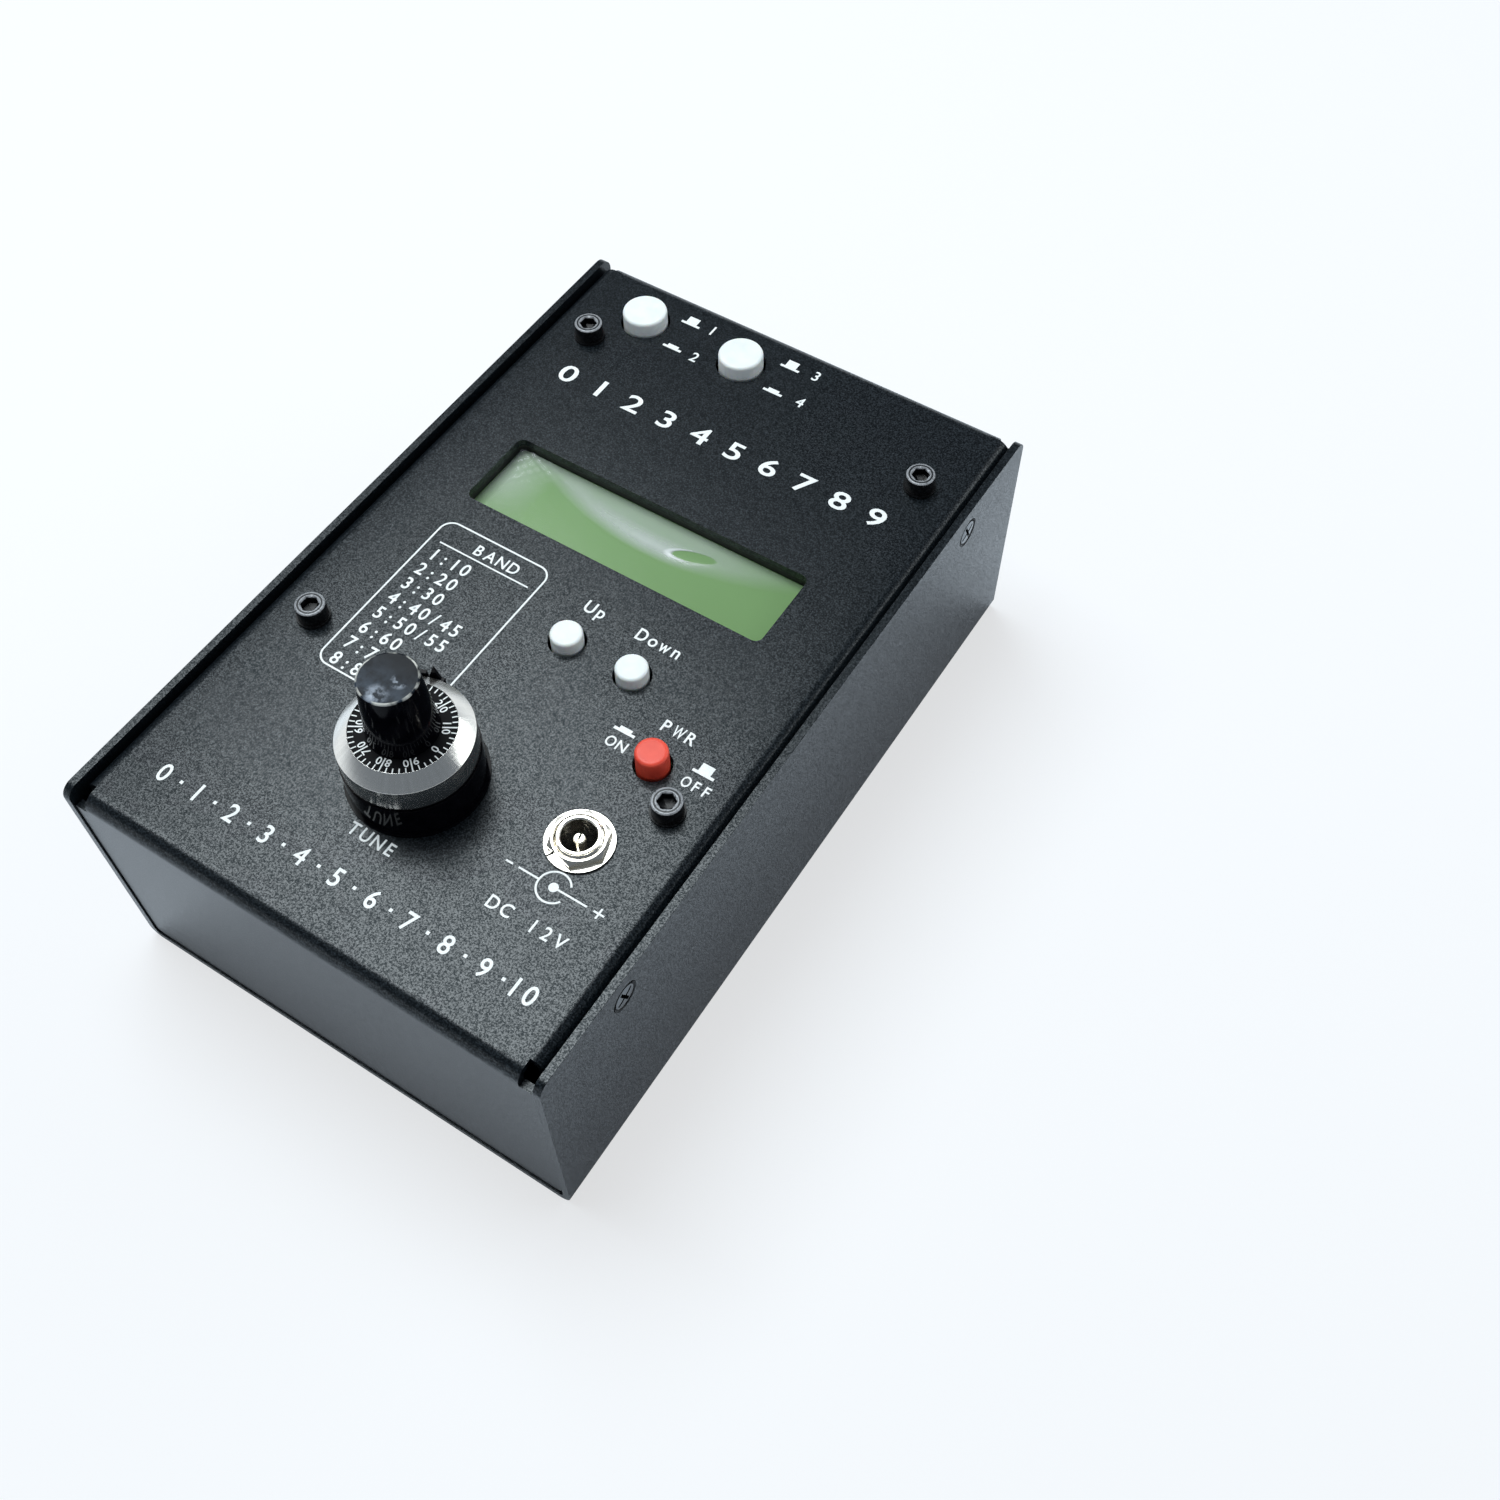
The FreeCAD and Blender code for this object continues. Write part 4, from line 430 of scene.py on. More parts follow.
def carved(made, tools):
    """Cut tools away from a piece: Boolean modifiers, whose result becomes its mesh."""
    for tool in tools:
        cutter = made.modifiers.new("cut", "BOOLEAN")
        cutter.object, cutter.operation, cutter.solver = tool, "DIFFERENCE", "EXACT"
    graph = bpy.context.evaluated_depsgraph_get()
    result = bpy.data.meshes.new_from_object(made.evaluated_get(graph))
    made.modifiers.clear()
    result.name = made.name
    made.data = result
    for tool in tools:
        bpy.data.objects.remove(tool)
    creased(result)


def triangles_of(mesh):
    """A mesh as one part: its points in millimetres and its triangles."""
    points = np.empty(len(mesh.vertices) * 3, np.float32)
    mesh.vertices.foreach_get("co", points)
    mesh.calc_loop_triangles()
    corners = np.empty(len(mesh.loop_triangles) * 3, np.int32)
    mesh.loop_triangles.foreach_get("vertices", corners)
    return points.reshape(-1, 3).astype(float) / MM, corners.reshape(-1, 3)


FLAT_ENOUGH = 0.5


def softened(node, name, finish, width, body, slot):
    """A copy of a CAD node: doubles merged, faces within FLAT_ENOUGH degrees joined, and the
    edges that are left bevelled to so many millimetres."""
    copy = piece(name, [triangles_of(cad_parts[node].data)], finish)
    form = bmesh.new()
    form.from_mesh(copy.data)
    bmesh.ops.dissolve_limit(form, angle_limit=math.radians(FLAT_ENOUGH), verts=form.verts,
                             edges=form.edges)
    form.to_mesh(copy.data)
    form.free()
    edge = copy.modifiers.new("soft_edges", "BEVEL")
    edge.width, edge.segments, edge.limit_method = width * MM, 2, "ANGLE"
    edge.angle_limit, edge.harden_normals = math.radians(CREASE), True
    stand_for(copy, body, slot, node)


print("shape helpers ready")

# %% [markdown]
# ## The case: powder-coated steel
# Powder coat is plastic dust melted onto steel. Seen close it is a fine grain, each grain
# catching light on its own, over the slow waves that painters call orange peel. Grains painted
# in as a colour alone would look printed. So only some grains carry a clear second coat that
# glints, the gloss changes a little from grain to grain, and a slight bump adds the peel.

# %% Powder coat
coat = Finish("black_powder_coat")
grain = coat.noise(0.23, detail=2.0, roughness=0.6)
peel = coat.noise(1.6, detail=1.0, seed=40.0)
cloud = coat.noise(38.0, detail=3.0, seed=90.0)
glints = coat.noise(0.30, detail=2.0, roughness=0.8, seed=130.0)
tone = coat.blend(glints.above(0.45, 0.75), (0.001, 0.002, 0.003), (0.022, 0.030, 0.038))
shine = 0.25 + grain * 0.10 + cloud * 0.03
powder_coat = coat.surface(
    tone, shine, coat.bump(grain * 0.8 + peel * 0.5, 0.012),
    coat_weight=glints.above(0.42, 0.60) * 0.85, coat_roughness=0.27,
    specular_ior_level=0.15, specular_tint=(0.80, 0.92, 1.0, 1.0))

FOLD_ROUND = 0.16
for node, name in (("bottom_tray", "case_tray"), ("top_cover", "case_cover")):
    softened(node, name, powder_coat, FOLD_ROUND, "case", "black_powder_coat")

# %% [markdown]
# ## Black screws
# Socket cap screws hold the boards to the panel, and countersunk screws hold the cover. Their
# black is a thin oxide on steel. It wears off first on the head's rim and on the socket's lip,
# which show as paler rings, and the countersunk heads shine as metal. Each such place is a mask
# made from the distance to a screw's axis. The size of a coordinate, without its sign, folds
# the object about its middle, so that one formula serves all four screws of a kind.

# %% Black steel
HEAD_RADIUS, HEAD_HEIGHT, WASHER_TOP = 2.75, 3.0, 0.5
SOCKET_FLATS, SOCKET_DEPTH = 3.0, 1.8
SIDE_HEAD, SIDE_FACE = 3.0, 2.24
WORN_STEEL, FLAT_OXIDE, SIDE_STEEL = (0.30, 0.31, 0.33), (0.022, 0.024, 0.027), (0.16, 0.17, 0.18)
low, high = box_of("panel_screws")
middle, spread = (low + high) / 2, (high - low) / 2 - HEAD_RADIUS
head_end = panel_top + WASHER_TOP + HEAD_HEIGHT
side_low, side_high = box_of("side_screws")
side_level, side_along = (side_low[2] + side_high[2]) / 2, side_high[1] - SIDE_HEAD

oxide = Finish("black_steel")
scuff = oxide.noise(0.5, detail=3.0)
x, y, z = (oxide.coordinate(letter) for letter in "XYZ")
reach = length(abs(x - middle[0]) - spread[0], abs(y - middle[1]) - spread[1])
rim = reach.above(2.26, 2.34) * z.above(head_end - 0.24, head_end - 0.18)
lip = (1 - reach.above(1.92, 2.0)) * z.above(head_end - 0.40, head_end - 0.30)
flat = reach.above(1.3, 1.4) * z.above(head_end - 0.06, head_end - 0.03)
off_axis = length(abs(y) - side_along, z - side_level)
beside = abs(x).above(side_high[0] - 0.4, side_high[0] - 0.3)
beside = beside * (1 - off_axis.above(SIDE_FACE, SIDE_FACE + 0.08))

tone = oxide.blend(scuff.above(0.45, 0.75), (0.004, 0.004, 0.005), (0.016, 0.017, 0.019))
tone = oxide.blend(flat, tone, FLAT_OXIDE)
tone = oxide.blend((rim + lip).above(0.0, 1.0) * scuff.above(0.22, 0.46), tone, WORN_STEEL)
tone = oxide.blend(beside, tone, SIDE_STEEL)
black_steel = oxide.surface(
    tone, 0.24 + scuff * 0.12 - beside * 0.14, oxide.bump(scuff, 0.008),
    metallic=0.12 + beside * 0.88, specular_ior_level=0.25)
print("cap screws", 2 * spread[:2], "mm apart, side screws at", round(side_along, 2), "mm")

# %% Cap screws
SHANK, SHANK_TIP, TIP_SLOPE = 1.5, 1.25, 0.3
PANEL_SHANK, SIDE_SHANK = 8.0, 6.0


def hexagon(flats, angle, flat_at=0.0):
    """Radius of a hexagon: half its flats over the cosine of the angle from a flat's middle."""
    off = np.mod(angle - flat_at + np.pi / 6, np.pi / 3) - np.pi / 6
    return flats / 2 / np.cos(off)


def shank_end(long):
    """Corners of a screw's end: from the axis, over a sloped tip, to its full radius."""
    return [(0, -long), (SHANK_TIP, -long), (SHANK, TIP_SLOPE - long)]


def cap_screw():
    """Head section with a rounded rim and a hexagon socket that ends in a shallow cone."""
    outer = rounded([(0.0, 0.0), (HEAD_RADIUS - 0.05, 0.0), (HEAD_RADIUS, 0.1),
                     (HEAD_RADIUS, HEAD_HEIGHT, 0.42), (SOCKET_FLATS * 0.6, HEAD_HEIGHT)], steps=5)
    radius, height = (np.tile(outer[:, k:k + 1], (1, AROUND)) for k in (0, 1))
    socket = hexagon(SOCKET_FLATS, np.arange(AROUND) * 2 * np.pi / AROUND)
    radius = np.vstack([radius, socket + 0.02, socket, socket, 0.55 * socket, 0 * socket])
    depths = [0.16, 0.22, SOCKET_DEPTH, SOCKET_DEPTH + 0.3, SOCKET_DEPTH + 0.42]
    height = np.vstack([height] + [np.full(AROUND, HEAD_HEIGHT - depth) for depth in depths])
    return turned(radius, height)


screw_places = [middle[:2] + [a * spread[0], b * spread[1]] for a in (-1, 1) for b in (-1, 1)]
heads = [moved(cap_screw(), (x, y, panel_top + WASHER_TOP)) for x, y in screw_places]
shank = lathed([*shank_end(PANEL_SHANK), (SHANK, 0.0), (0, 0.0)], around=48)
shanks = [moved(shank, (x, y, panel_top + WASHER_TOP - 0.01)) for x, y in screw_places]
cap_screws = piece("cap_screws", heads + shanks, black_steel, crease=30)
stand_for(cap_screws, "case", "black_steel", "panel_screws")

# %% [markdown]
# ## Side screws
# The countersunk heads are turned, with the ring-shaped groove that shows where the steel is
# dimpled round them. A turned grid has no edges that fit a cross recess, so the recess is cut by
# two crossed prisms with a Boolean, which is the right tool for a sharp-edged hole.

# %% Countersunk side screws
CROSS_REACH, CROSS_WIDTH, CROSS_DEPTH, CROSS_TURN = 1.95, 0.62, 1.0, 25.0


def facing_side(part, side, end):
    """A part drawn with +Z outwards, set on a side plate: (x, y, z) becomes side (z, x), y."""
    points = part[0]
    turned_out = np.stack([side * points[:, 2], side * points[:, 0], points[:, 1]], axis=-1)
    return turned_out + [side * side_high[0], end * side_along, side_level], part[1]


countersunk = lathed([*shank_end(SIDE_SHANK), (SHANK, -1.51), (2.86, -0.15), (2.86, -0.03),
                      (2.42, -0.55), (2.36, -0.08, 0.05), (1.0, 0.0, 0.5), (0, 0.0)], around=96)
arm = np.array([(-CROSS_REACH, -CROSS_WIDTH / 2), (CROSS_REACH, -CROSS_WIDTH / 2),
                (CROSS_REACH, CROSS_WIDTH / 2), (-CROSS_REACH, CROSS_WIDTH / 2)])
blanks, tools = [], []
for side in (-1, 1):
    for end in (-1, 1):
        blanks.append(facing_side(countersunk, side, end))
        for degrees in (CROSS_TURN, CROSS_TURN + 90):
            a = math.radians(degrees)
            spun_arm = arm @ np.array([[math.cos(a), math.sin(a)], [-math.sin(a), math.cos(a)]])
            box = [facing_side(part, side, end) for part in prism(spun_arm, -CROSS_DEPTH, 0.5)]
            tools.append(piece(f"cross_{len(tools)}", box, black_steel))
side_screws = piece("side_screw_heads", blanks, black_steel)
carved(side_screws, tools)
stand_for(side_screws, "case", "black_steel", "side_screws")

# %% [markdown]
# ## White lettering
# The legends are screen-printed: a film of white ink with crisp edges that follows the panel.
# Each letter is the built-in font's outline turned into a thin slab, set in cells of equal width
# as an engraving machine does. Numbers and plain words only: this part carries no names.

# %% Ink and glyphs
ink = Finish("white_ink")
patchiness_and_painted_reflection_spot = ink.noise(0.35, detail=2.0)
tone = ink.blend(patchiness_and_painted_reflection_spot.above(0.35, 0.65), (0.82, 0.85, 0.86), (0.93, 0.95, 0.95))
white_ink = ink.surface(tone, 0.45, ink.bump(patchiness_and_painted_reflection_spot, 0.004))
INK_THICKNESS, INK_LIFT, CELL_SHARE = 0.03, 0.003, 0.84
INK_MIDDLE = INK_LIFT + INK_THICKNESS / 2
GLYPHS = {}


def drawn(letter):
    """A letter of the built-in font as a slab, in the font's own units."""
    text = bpy.data.curves.new("glyph", "FONT")
    text.body, text.extrude, text.resolution_u, text.offset = letter, 0.5, 4, 0.012
    carrier = bpy.data.objects.new("glyph", text)
    points, faces = triangles_of(bpy.data.meshes.new_from_object(carrier))
    bpy.data.objects.remove(carrier)
    return points * MM, faces


CAPITAL = float(np.ptp(drawn("H")[0][:, 1]))


def glyph(letter):
    """A letter as a slab: its capital height is 1, it stands on y = 0 and x = 0 is its middle."""
    if letter not in GLYPHS:
        points, faces = drawn(letter)
        GLYPHS[letter] = points / CAPITAL, faces
    points, faces = GLYPHS[letter]
    shift = [(points[:, 0].min() + points[:, 0].max()) / 2, 0.0, 0.0]
    return points - shift, faces


def lettering(text, left, baseline, capital, pitch, wide=0.92):
    """Letters in equal cells from a left edge: each is scaled to fit its cell, then set in it."""
    parts = []
    for number, letter in enumerate(text):
        if letter == " ":
            continue
        points, faces = glyph(letter)
        across = min(capital * wide, CELL_SHARE * pitch / np.ptp(points[:, 0]))
        scale = [across, capital, INK_THICKNESS * CAPITAL]
        cell = [left + (number + 0.5) * pitch, baseline, panel_top + INK_MIDDLE]
        parts.append((points * scale + cell, faces))
    return parts


def slab(outline):
    """A convex flat shape of ink, as thick as the film of ink."""
    return prism(outline, panel_top + INK_LIFT, panel_top + INK_LIFT + INK_THICKNESS)


def bar(x0, y0, x1, y1):
    """A level rectangle of ink."""
    return slab([(x0, y0), (x1, y0), (x1, y1), (x0, y1)])


def directions(steps):
    """Steps made one unit long."""
    return steps / np.linalg.norm(steps, axis=1)[:, None]


def stroke(path, width, closed=False):
    """A ribbon of ink: its section's four corners, carried along a path by the path's normal."""
    path = np.asarray(path, float)
    ahead = np.roll(path, -1, 0) - path
    behind = path - np.roll(path, 1, 0)
    if not closed:
        ahead[-1], behind[0] = behind[-1], ahead[0]
    tangent = directions(directions(ahead) + directions(behind))
    normal = np.stack([-tangent[:, 1], tangent[:, 0]], axis=-1) * width / 2
    foot, face = panel_top + INK_LIFT + np.array([0.0, INK_THICKNESS])
    left, right = path + normal, path - normal
    corners = [(left, foot), (right, foot), (right, face), (left, face)]
    grid = [np.column_stack([line, np.full(len(path), z)]) for line, z in corners]
    points = np.stack(grid, axis=1).reshape(-1, 3)
    part = (points, quads(len(path), 4, loop=closed))
    if closed:
        return [part]
    last = 4 * (len(path) - 1)
    return [part, (points, np.array([[3, 2, 1, 0], [last, last + 1, last + 2, last + 3]]))]


def arc(centre, radius, start, stop, count=48):
    """Points on an arc: centre + radius (cos a, sin a)."""
    angle = np.radians(np.linspace(start, stop, count))
    steps = radius * np.cos(angle), radius * np.sin(angle)
    return np.stack([centre[0] + steps[0], centre[1] + steps[1]], axis=-1)


print("capital height of the font:", round(CAPITAL, 3))

# %% Words, band table and button signs
STROKE = 0.34
SIGN_LENGTH, SIGN_BAR, SIGN_OUT, SIGN_IN = 4.2, 0.55, 1.75, 0.6
BLOCK_FROM, BLOCK_TO = 0.9, 3.3
FRAME_LEFT, FRAME_RIGHT, FRAME_FOOT, FRAME_HEAD, FRAME_ROUND = -29.1, -10.4, -31.5, 0.9, 2.5
ROWS_LEFT, FIRST_ROW, ROW_STEP = -29.6, -5.9, 3.92
HEADER_LINE = (-29.5, -1.9, -9.6, -1.6)
legend = []


def button_sign(x, y, tall):
    """A push button from the side: a bar for the panel, and a block that stands out or is in."""
    top = y + SIGN_BAR
    return bar(x, y, x + SIGN_LENGTH, top) + bar(x + BLOCK_FROM, top, x + BLOCK_TO, top + tall)


for text, left, baseline, capital, pitch in (
    ("TUNE", -4.7, -58.1, 2.35, 2.5),
    ("DC 12V", 22.6, -56.8, 2.4, 2.6),
    ("Up", 1.3, -0.6, 2.6, 2.45),
    ("Down", 12.6, -0.8, 2.6, 2.42),
    ("PWR", 26.9, -14.4, 2.4, 2.5),
    ("ON", 20.8, -21.7, 2.1, 2.2),
    ("OFF", 36.1, -21.7, 2.1, 2.0),
    ("BAND", -23.4, -0.8, 2.4, 2.6),
    ("1", -19.0, 69.8, 2.5, 2.7),
    ("2", -18.0, 61.6, 2.5, 2.7),
    ("3", 5.2, 69.9, 2.5, 2.7),
    ("4", 6.2, 62.2, 2.5, 2.7),
):
    legend += lettering(text, left, baseline, capital, pitch)

table = ["1:10", "2:20", "3:30", "4:40/45", "5:50/55", "6:60", "7:70", "8:80"]
for number, text in enumerate(table):
    legend += lettering(text, ROWS_LEFT, FIRST_ROW - ROW_STEP * number, 2.7, 2.33)
quarters = ((FRAME_RIGHT, FRAME_HEAD, 0), (FRAME_LEFT, FRAME_HEAD, 90),
            (FRAME_LEFT, FRAME_FOOT, 180), (FRAME_RIGHT, FRAME_FOOT, 270))
frame_line = [arc((x, y), FRAME_ROUND, start, start + 90, 10) for x, y, start in quarters]
legend += stroke(np.vstack(frame_line), STROKE, closed=True)
legend += bar(*HEADER_LINE)

for x, y, tall in (
    (-24.6, 69.9, SIGN_OUT), (-24.0, 62.3, SIGN_IN), (-1.2, 70.0, SIGN_OUT),
    (-0.6, 62.6, SIGN_IN), (20.7, -18.3, SIGN_IN), (36.6, -18.3, SIGN_OUT),
):
    legend += button_sign(x, y, tall)
print("parts so far:", len(legend))

# %% Power symbol and rows of digits
SYMBOL, RING_RADIUS, DOT_RADIUS = (30.3, -48.4), 2.85, 0.85
PLUS, PLUS_ARM = 39.1, 1.0
low_line, high_line = SYMBOL[1] - STROKE / 2, SYMBOL[1] + STROKE / 2
legend += stroke(arc(SYMBOL, RING_RADIUS, 32, 328), STROKE)
legend += slab(arc(SYMBOL, DOT_RADIUS, 0, 345, 24))
for start, end in (
    (SYMBOL[0] + DOT_RADIUS, 36.8), (23.4, SYMBOL[0] - RING_RADIUS - STROKE / 2),
    (20.9, 22.3), (PLUS - PLUS_ARM, PLUS + PLUS_ARM),
):
    legend += bar(start, low_line, end, high_line)
for low_end, high_end in ((SYMBOL[1] - PLUS_ARM, low_line), (high_line, SYMBOL[1] + PLUS_ARM)):
    legend += bar(PLUS - STROKE / 2, low_end, PLUS + STROKE / 2, high_end)

NEAR_START, NEAR_STEP, NEAR_PITCH, DOT_MIDDLE, DOT_HALF = -37.0, 7.4, 2.9, -65.4, 0.3
for number in range(11):
    text = str(number)
    spot = NEAR_START + NEAR_STEP * number
    legend += lettering(text, spot - NEAR_PITCH / 2 * len(text), -67.1, 3.4, NEAR_PITCH)
    if number < 10:
        dot = spot + NEAR_STEP / 2
        legend += bar(dot - DOT_HALF, DOT_MIDDLE - DOT_HALF, dot + DOT_HALF, DOT_MIDDLE + DOT_HALF)

FAR_START, FAR_STEP, FAR_PITCH = -35.0, 7.75, 5.2
for number in range(10):
    spot = FAR_START + FAR_STEP * number
    legend += lettering(str(number), spot - FAR_PITCH / 2, 43.7, 4.3, FAR_PITCH, wide=1.3)
panel_legends = piece("panel_legends", legend, white_ink, crease=20)
stand_for(panel_legends, "case", "white_plastic")

# %% [markdown]
# ## The dial
# A ten-turn dial has three parts that show: a fixed black base with a pointer, a turning ring of
# bright aluminium, and a black knob in its middle. The ring was cut on a lathe, so a fine spiral
# of grooves runs round it, and the tool's chatter leaves faint marks across them. Light spreads
# across grooves and not along them, which makes the bright and dark sectors. Both are noise over
# two measures: distance from the axis and height for the grooves, and bearing for the chatter.
# The knob is glossy black plastic. Its crown carries painted reflections: a pale haze over its
# near part and two small pale spots. Its rim shows a pale ring, partly wear and partly a painted
# highlight. Each of these is a mask, broken up by a cloudy noise.

# %% Turned aluminium
GROOVES, BANDS, CHATTER = 34.0, 4.0, 16.0
metal = Finish("spun_aluminium")


def lathe_marks(first, second, detail, **ports):
    """Noise over two measures instead of over a place: so many marks for each unit of both."""
    spot = metal.node("ShaderNodeCombineXYZ", {0: first, 1: second})
    ports = {"Vector": spot, "Scale": 1.0, "Detail": detail, **ports}
    return metal.node("ShaderNodeTexNoise", ports)


reach, level = metal.from_axis(dial_axis[0], dial_axis[1]), metal.coordinate("Z")
across, along = metal.coordinate("X") - dial_axis[0], metal.coordinate("Y") - dial_axis[1]
bearing = along.maths("ARCTAN2", along, across)
groove = lathe_marks(reach * GROOVES, level * GROOVES, 3.0)
band = lathe_marks(reach * BANDS, level * BANDS, 2.0)
chatter = lathe_marks(bearing * CHATTER, level * 0.02, 3.0, Roughness=0.7)
tone = metal.blend(chatter.above(0.35, 0.65), (0.93, 0.91, 0.87), (0.99, 0.97, 0.93))
spun = metal.surface(
    tone, 0.17 + band * 0.08, metal.bump(groove + chatter * 8.0, 0.002), metallic=1.0,
    anisotropic=0.5, anisotropic_rotation=0.25)

# %% Glossy knob and matt scale
# Knob tones: pale spots on the crown are painted reflections; the pale rim is partly wear, partly a
# painted highlight.
REFLECTION_SPOT_TONE, RIM_WEAR_AND_HIGHLIGHT = (0.42, 0.47, 0.55), (0.62, 0.62, 0.58)
knob_foot, knob_end = box_of("dial_knob")[:, 2]
gloss = Finish("gloss_black")
smudge = gloss.noise(2.6, detail=4.0, roughness=0.65)
cloudy = gloss.noise(1.9, detail=4.0, roughness=0.6, seed=33.0)
tone = gloss.blend(smudge.above(0.4, 0.8), (0.001, 0.001, 0.002), (0.004, 0.004, 0.006))
crown = gloss.coordinate("Z").above(knob_end - 0.22, knob_end - 0.16)
# The pale haze on the crown's near part is a painted reflection, broken up by cloudy noise.
far_part = (gloss.coordinate("Y") - dial_axis[1]).above(-4.6, 3.4)
haze_and_painted_reflection = (1 - far_part) * cloudy.above(0.30, 0.62)
tone = gloss.blend(crown, tone, gloss.blend(haze_and_painted_reflection, (0.002, 0.004, 0.008), (0.050, 0.068, 0.095)))
# Two pale spots on the crown, one by the near edge and a streak right of the middle: painted
# reflections.
patchiness_and_painted_reflection_spot = 1 - gloss.from_axis(dial_axis[0] + 0.5, dial_axis[1] - 3.4).above(0.6, 2.3)
painted_streak_reflection = 1 - gloss.from_axis(dial_axis[0] + 2.0, dial_axis[1] + 0.6).above(0.5, 1.7)
painted_reflection_spots = (patchiness_and_painted_reflection_spot * cloudy.above(0.40, 0.62) + painted_streak_reflection * cloudy.above(0.50, 0.60)).above(0.0, 1.0)
tone = gloss.blend(crown * painted_reflection_spots, tone, REFLECTION_SPOT_TONE)
reach = gloss.from_axis(dial_axis[0], dial_axis[1])
# A pale ring at the crown's edge, broken by noise: partly wear, partly a painted highlight.
rim = reach.above(4.62, 4.72) * (1 - reach.above(5.2, 5.3))
rim = rim * gloss.coordinate("Z").above(knob_end - 0.42, knob_end - 0.30)
worn_tone_and_rim_highlight = rim * gloss.noise(2.4, detail=4.0, seed=75.0).above(0.42, 0.58)
tone = gloss.blend(worn_tone_and_rim_highlight * 0.9, tone, RIM_WEAR_AND_HIGHLIGHT)
shine = 0.06 + smudge.above(0.45, 0.75) * 0.12 + crown * 0.10
gloss_black = gloss.surface(tone, shine, specular_ior_level=0.07)

matt = Finish("scale_black")
tooth = matt.noise(0.2, detail=1.0)
scale_black = matt.surface((0.002, 0.002, 0.003), 0.46 + tooth * 0.12, matt.bump(tooth, 0.003),
                           specular_ior_level=0.08)

# %% Ring, scale disc, knob and base
RING_R, SCALE_R, SHOULDER, RING_TOP, RING_LIP, SCALE_SUNK = 11.4, 8.85, 12.2, 14.3, 0.45, 0.9
GRUB_BORE, KNOB_FOOT, KNOB_HEAD = 1.28, 6.1, 4.95
SLEEVE, SLEEVE_DEPTH, SKIRT, SKIRT_LIFT = 3.25, 5, 8.3, 1.2
dial_spot = [dial_axis[0], dial_axis[1], panel_top]
ring_low = box_of("dial_ring")[0][2] - panel_top
ring = lathed([
    (SCALE_R - RING_LIP, ring_low), (RING_R, ring_low, 0.12), (RING_R, SHOULDER, 0.10),
    (SCALE_R, RING_TOP, 0.02), (SCALE_R, RING_TOP - SCALE_SUNK),
    (SCALE_R - RING_LIP, RING_TOP - SCALE_SUNK)], loop=True, around=192)
dial_ring = piece("dial_rim", [moved(ring, dial_spot)], spun)
low, high = box_of("dial_grub_screw")
grub = (low + high) / 2
bore = lathed([(0, -4), (GRUB_BORE, -4), (GRUB_BORE, 4), (0, 4)], around=48)
bore = piece("grub_bore", [moved(tipped(bore), (grub[0], high[1], grub[2]))], spun)
carved(dial_ring, [bore])
stand_for(dial_ring, "dial", "spun_aluminium", "dial_ring")

disc_low, disc_high = (box_of("dial_scale") - [0, 0, panel_top])[:, 2]
hole, disc_edge = KNOB_FOOT - 0.2, SCALE_R - 0.01
disc = lathed([(hole, disc_low), (disc_edge, disc_low), (disc_edge, disc_high),
               (hole, disc_high)], loop=True)
dial_disc = piece("dial_disc", [moved(disc, dial_spot)], scale_black)
stand_for(dial_disc, "dial", "dial_black", "dial_scale")

knob_top, knob_low, skirt_low = knob_end - panel_top, knob_foot - panel_top, ring_low + SKIRT_LIFT
knob = lathed([
    (SLEEVE, knob_low), (5.2, knob_low), (5.2, skirt_low), (SKIRT, skirt_low),
    (SKIRT, disc_low - 0.02), (KNOB_FOOT - 0.25, disc_low - 0.02), (KNOB_FOOT, disc_high, 0.15),
    (KNOB_HEAD + 0.02, knob_top, 0.28), (KNOB_HEAD - 0.35, knob_top, 0.3),
    (0.0, knob_top - 0.12), (0.0, knob_top - SLEEVE_DEPTH), (SLEEVE, knob_top - SLEEVE_DEPTH)],
    steps=6)
dial_knob = piece("tuning_knob", [moved(knob, dial_spot)], gloss_black)
stand_for(dial_knob, "dial", "gloss_black", "dial_knob")
softened("dial_base", "dial_seat", gloss_black, 0.15, "case", "gloss_black")

# %% Scale marks
ZERO_AT, TICKS = -4.5, 50
TICK_OUT, TICK_MINOR, TICK_LONG, TICK_ZERO = 8.78, 7.85, 6.25, 7.7
DIGIT_FOOT, DIGIT_HEIGHT, DIGIT_APART = 6.30, 1.35, 0.80
TICK_WIDE, TICK_THIN = 0.24, 0.20
mark_level = disc_high + panel_top


def on_dial(points, angle):
    """Turn points, drawn with +Y as outwards, about the dial's axis: outwards becomes the angle."""
    a = math.radians(angle - 90)
    spin = np.array([[math.cos(a), math.sin(a), 0], [-math.sin(a), math.cos(a), 0], [0, 0, 1]])
    return points @ spin + [dial_axis[0], dial_axis[1], mark_level]


marks = []
for number in range(TICKS):
    inner = TICK_MINOR if number % 5 else TICK_LONG if number else TICK_ZERO
    wide = TICK_THIN if number % 5 else TICK_WIDE
    tick = [(-wide / 2, inner), (wide / 2, inner), (wide / 2, TICK_OUT), (-wide / 2, TICK_OUT)]
    for points, faces in prism(tick, INK_LIFT, INK_LIFT + INK_THICKNESS):
        marks.append((on_dial(points, ZERO_AT + number * 360 / TICKS), faces))
for number in range(10):
    digits = ["0"] if number == 0 else [str(number), "0"]
    for place, digit in enumerate(digits):
        points, faces = glyph(digit)
        shift = 0.0 if number == 0 else (place - 0.5) * 2 * DIGIT_APART
        points = points * [DIGIT_HEIGHT, DIGIT_HEIGHT, INK_THICKNESS * CAPITAL]
        points = points + [shift, DIGIT_FOOT, INK_MIDDLE]
        marks.append((on_dial(points, ZERO_AT + number * 36), faces))
dial_marks = piece("dial_marks", marks, white_ink, crease=20)
stand_for(dial_marks, "dial", "white_plastic")

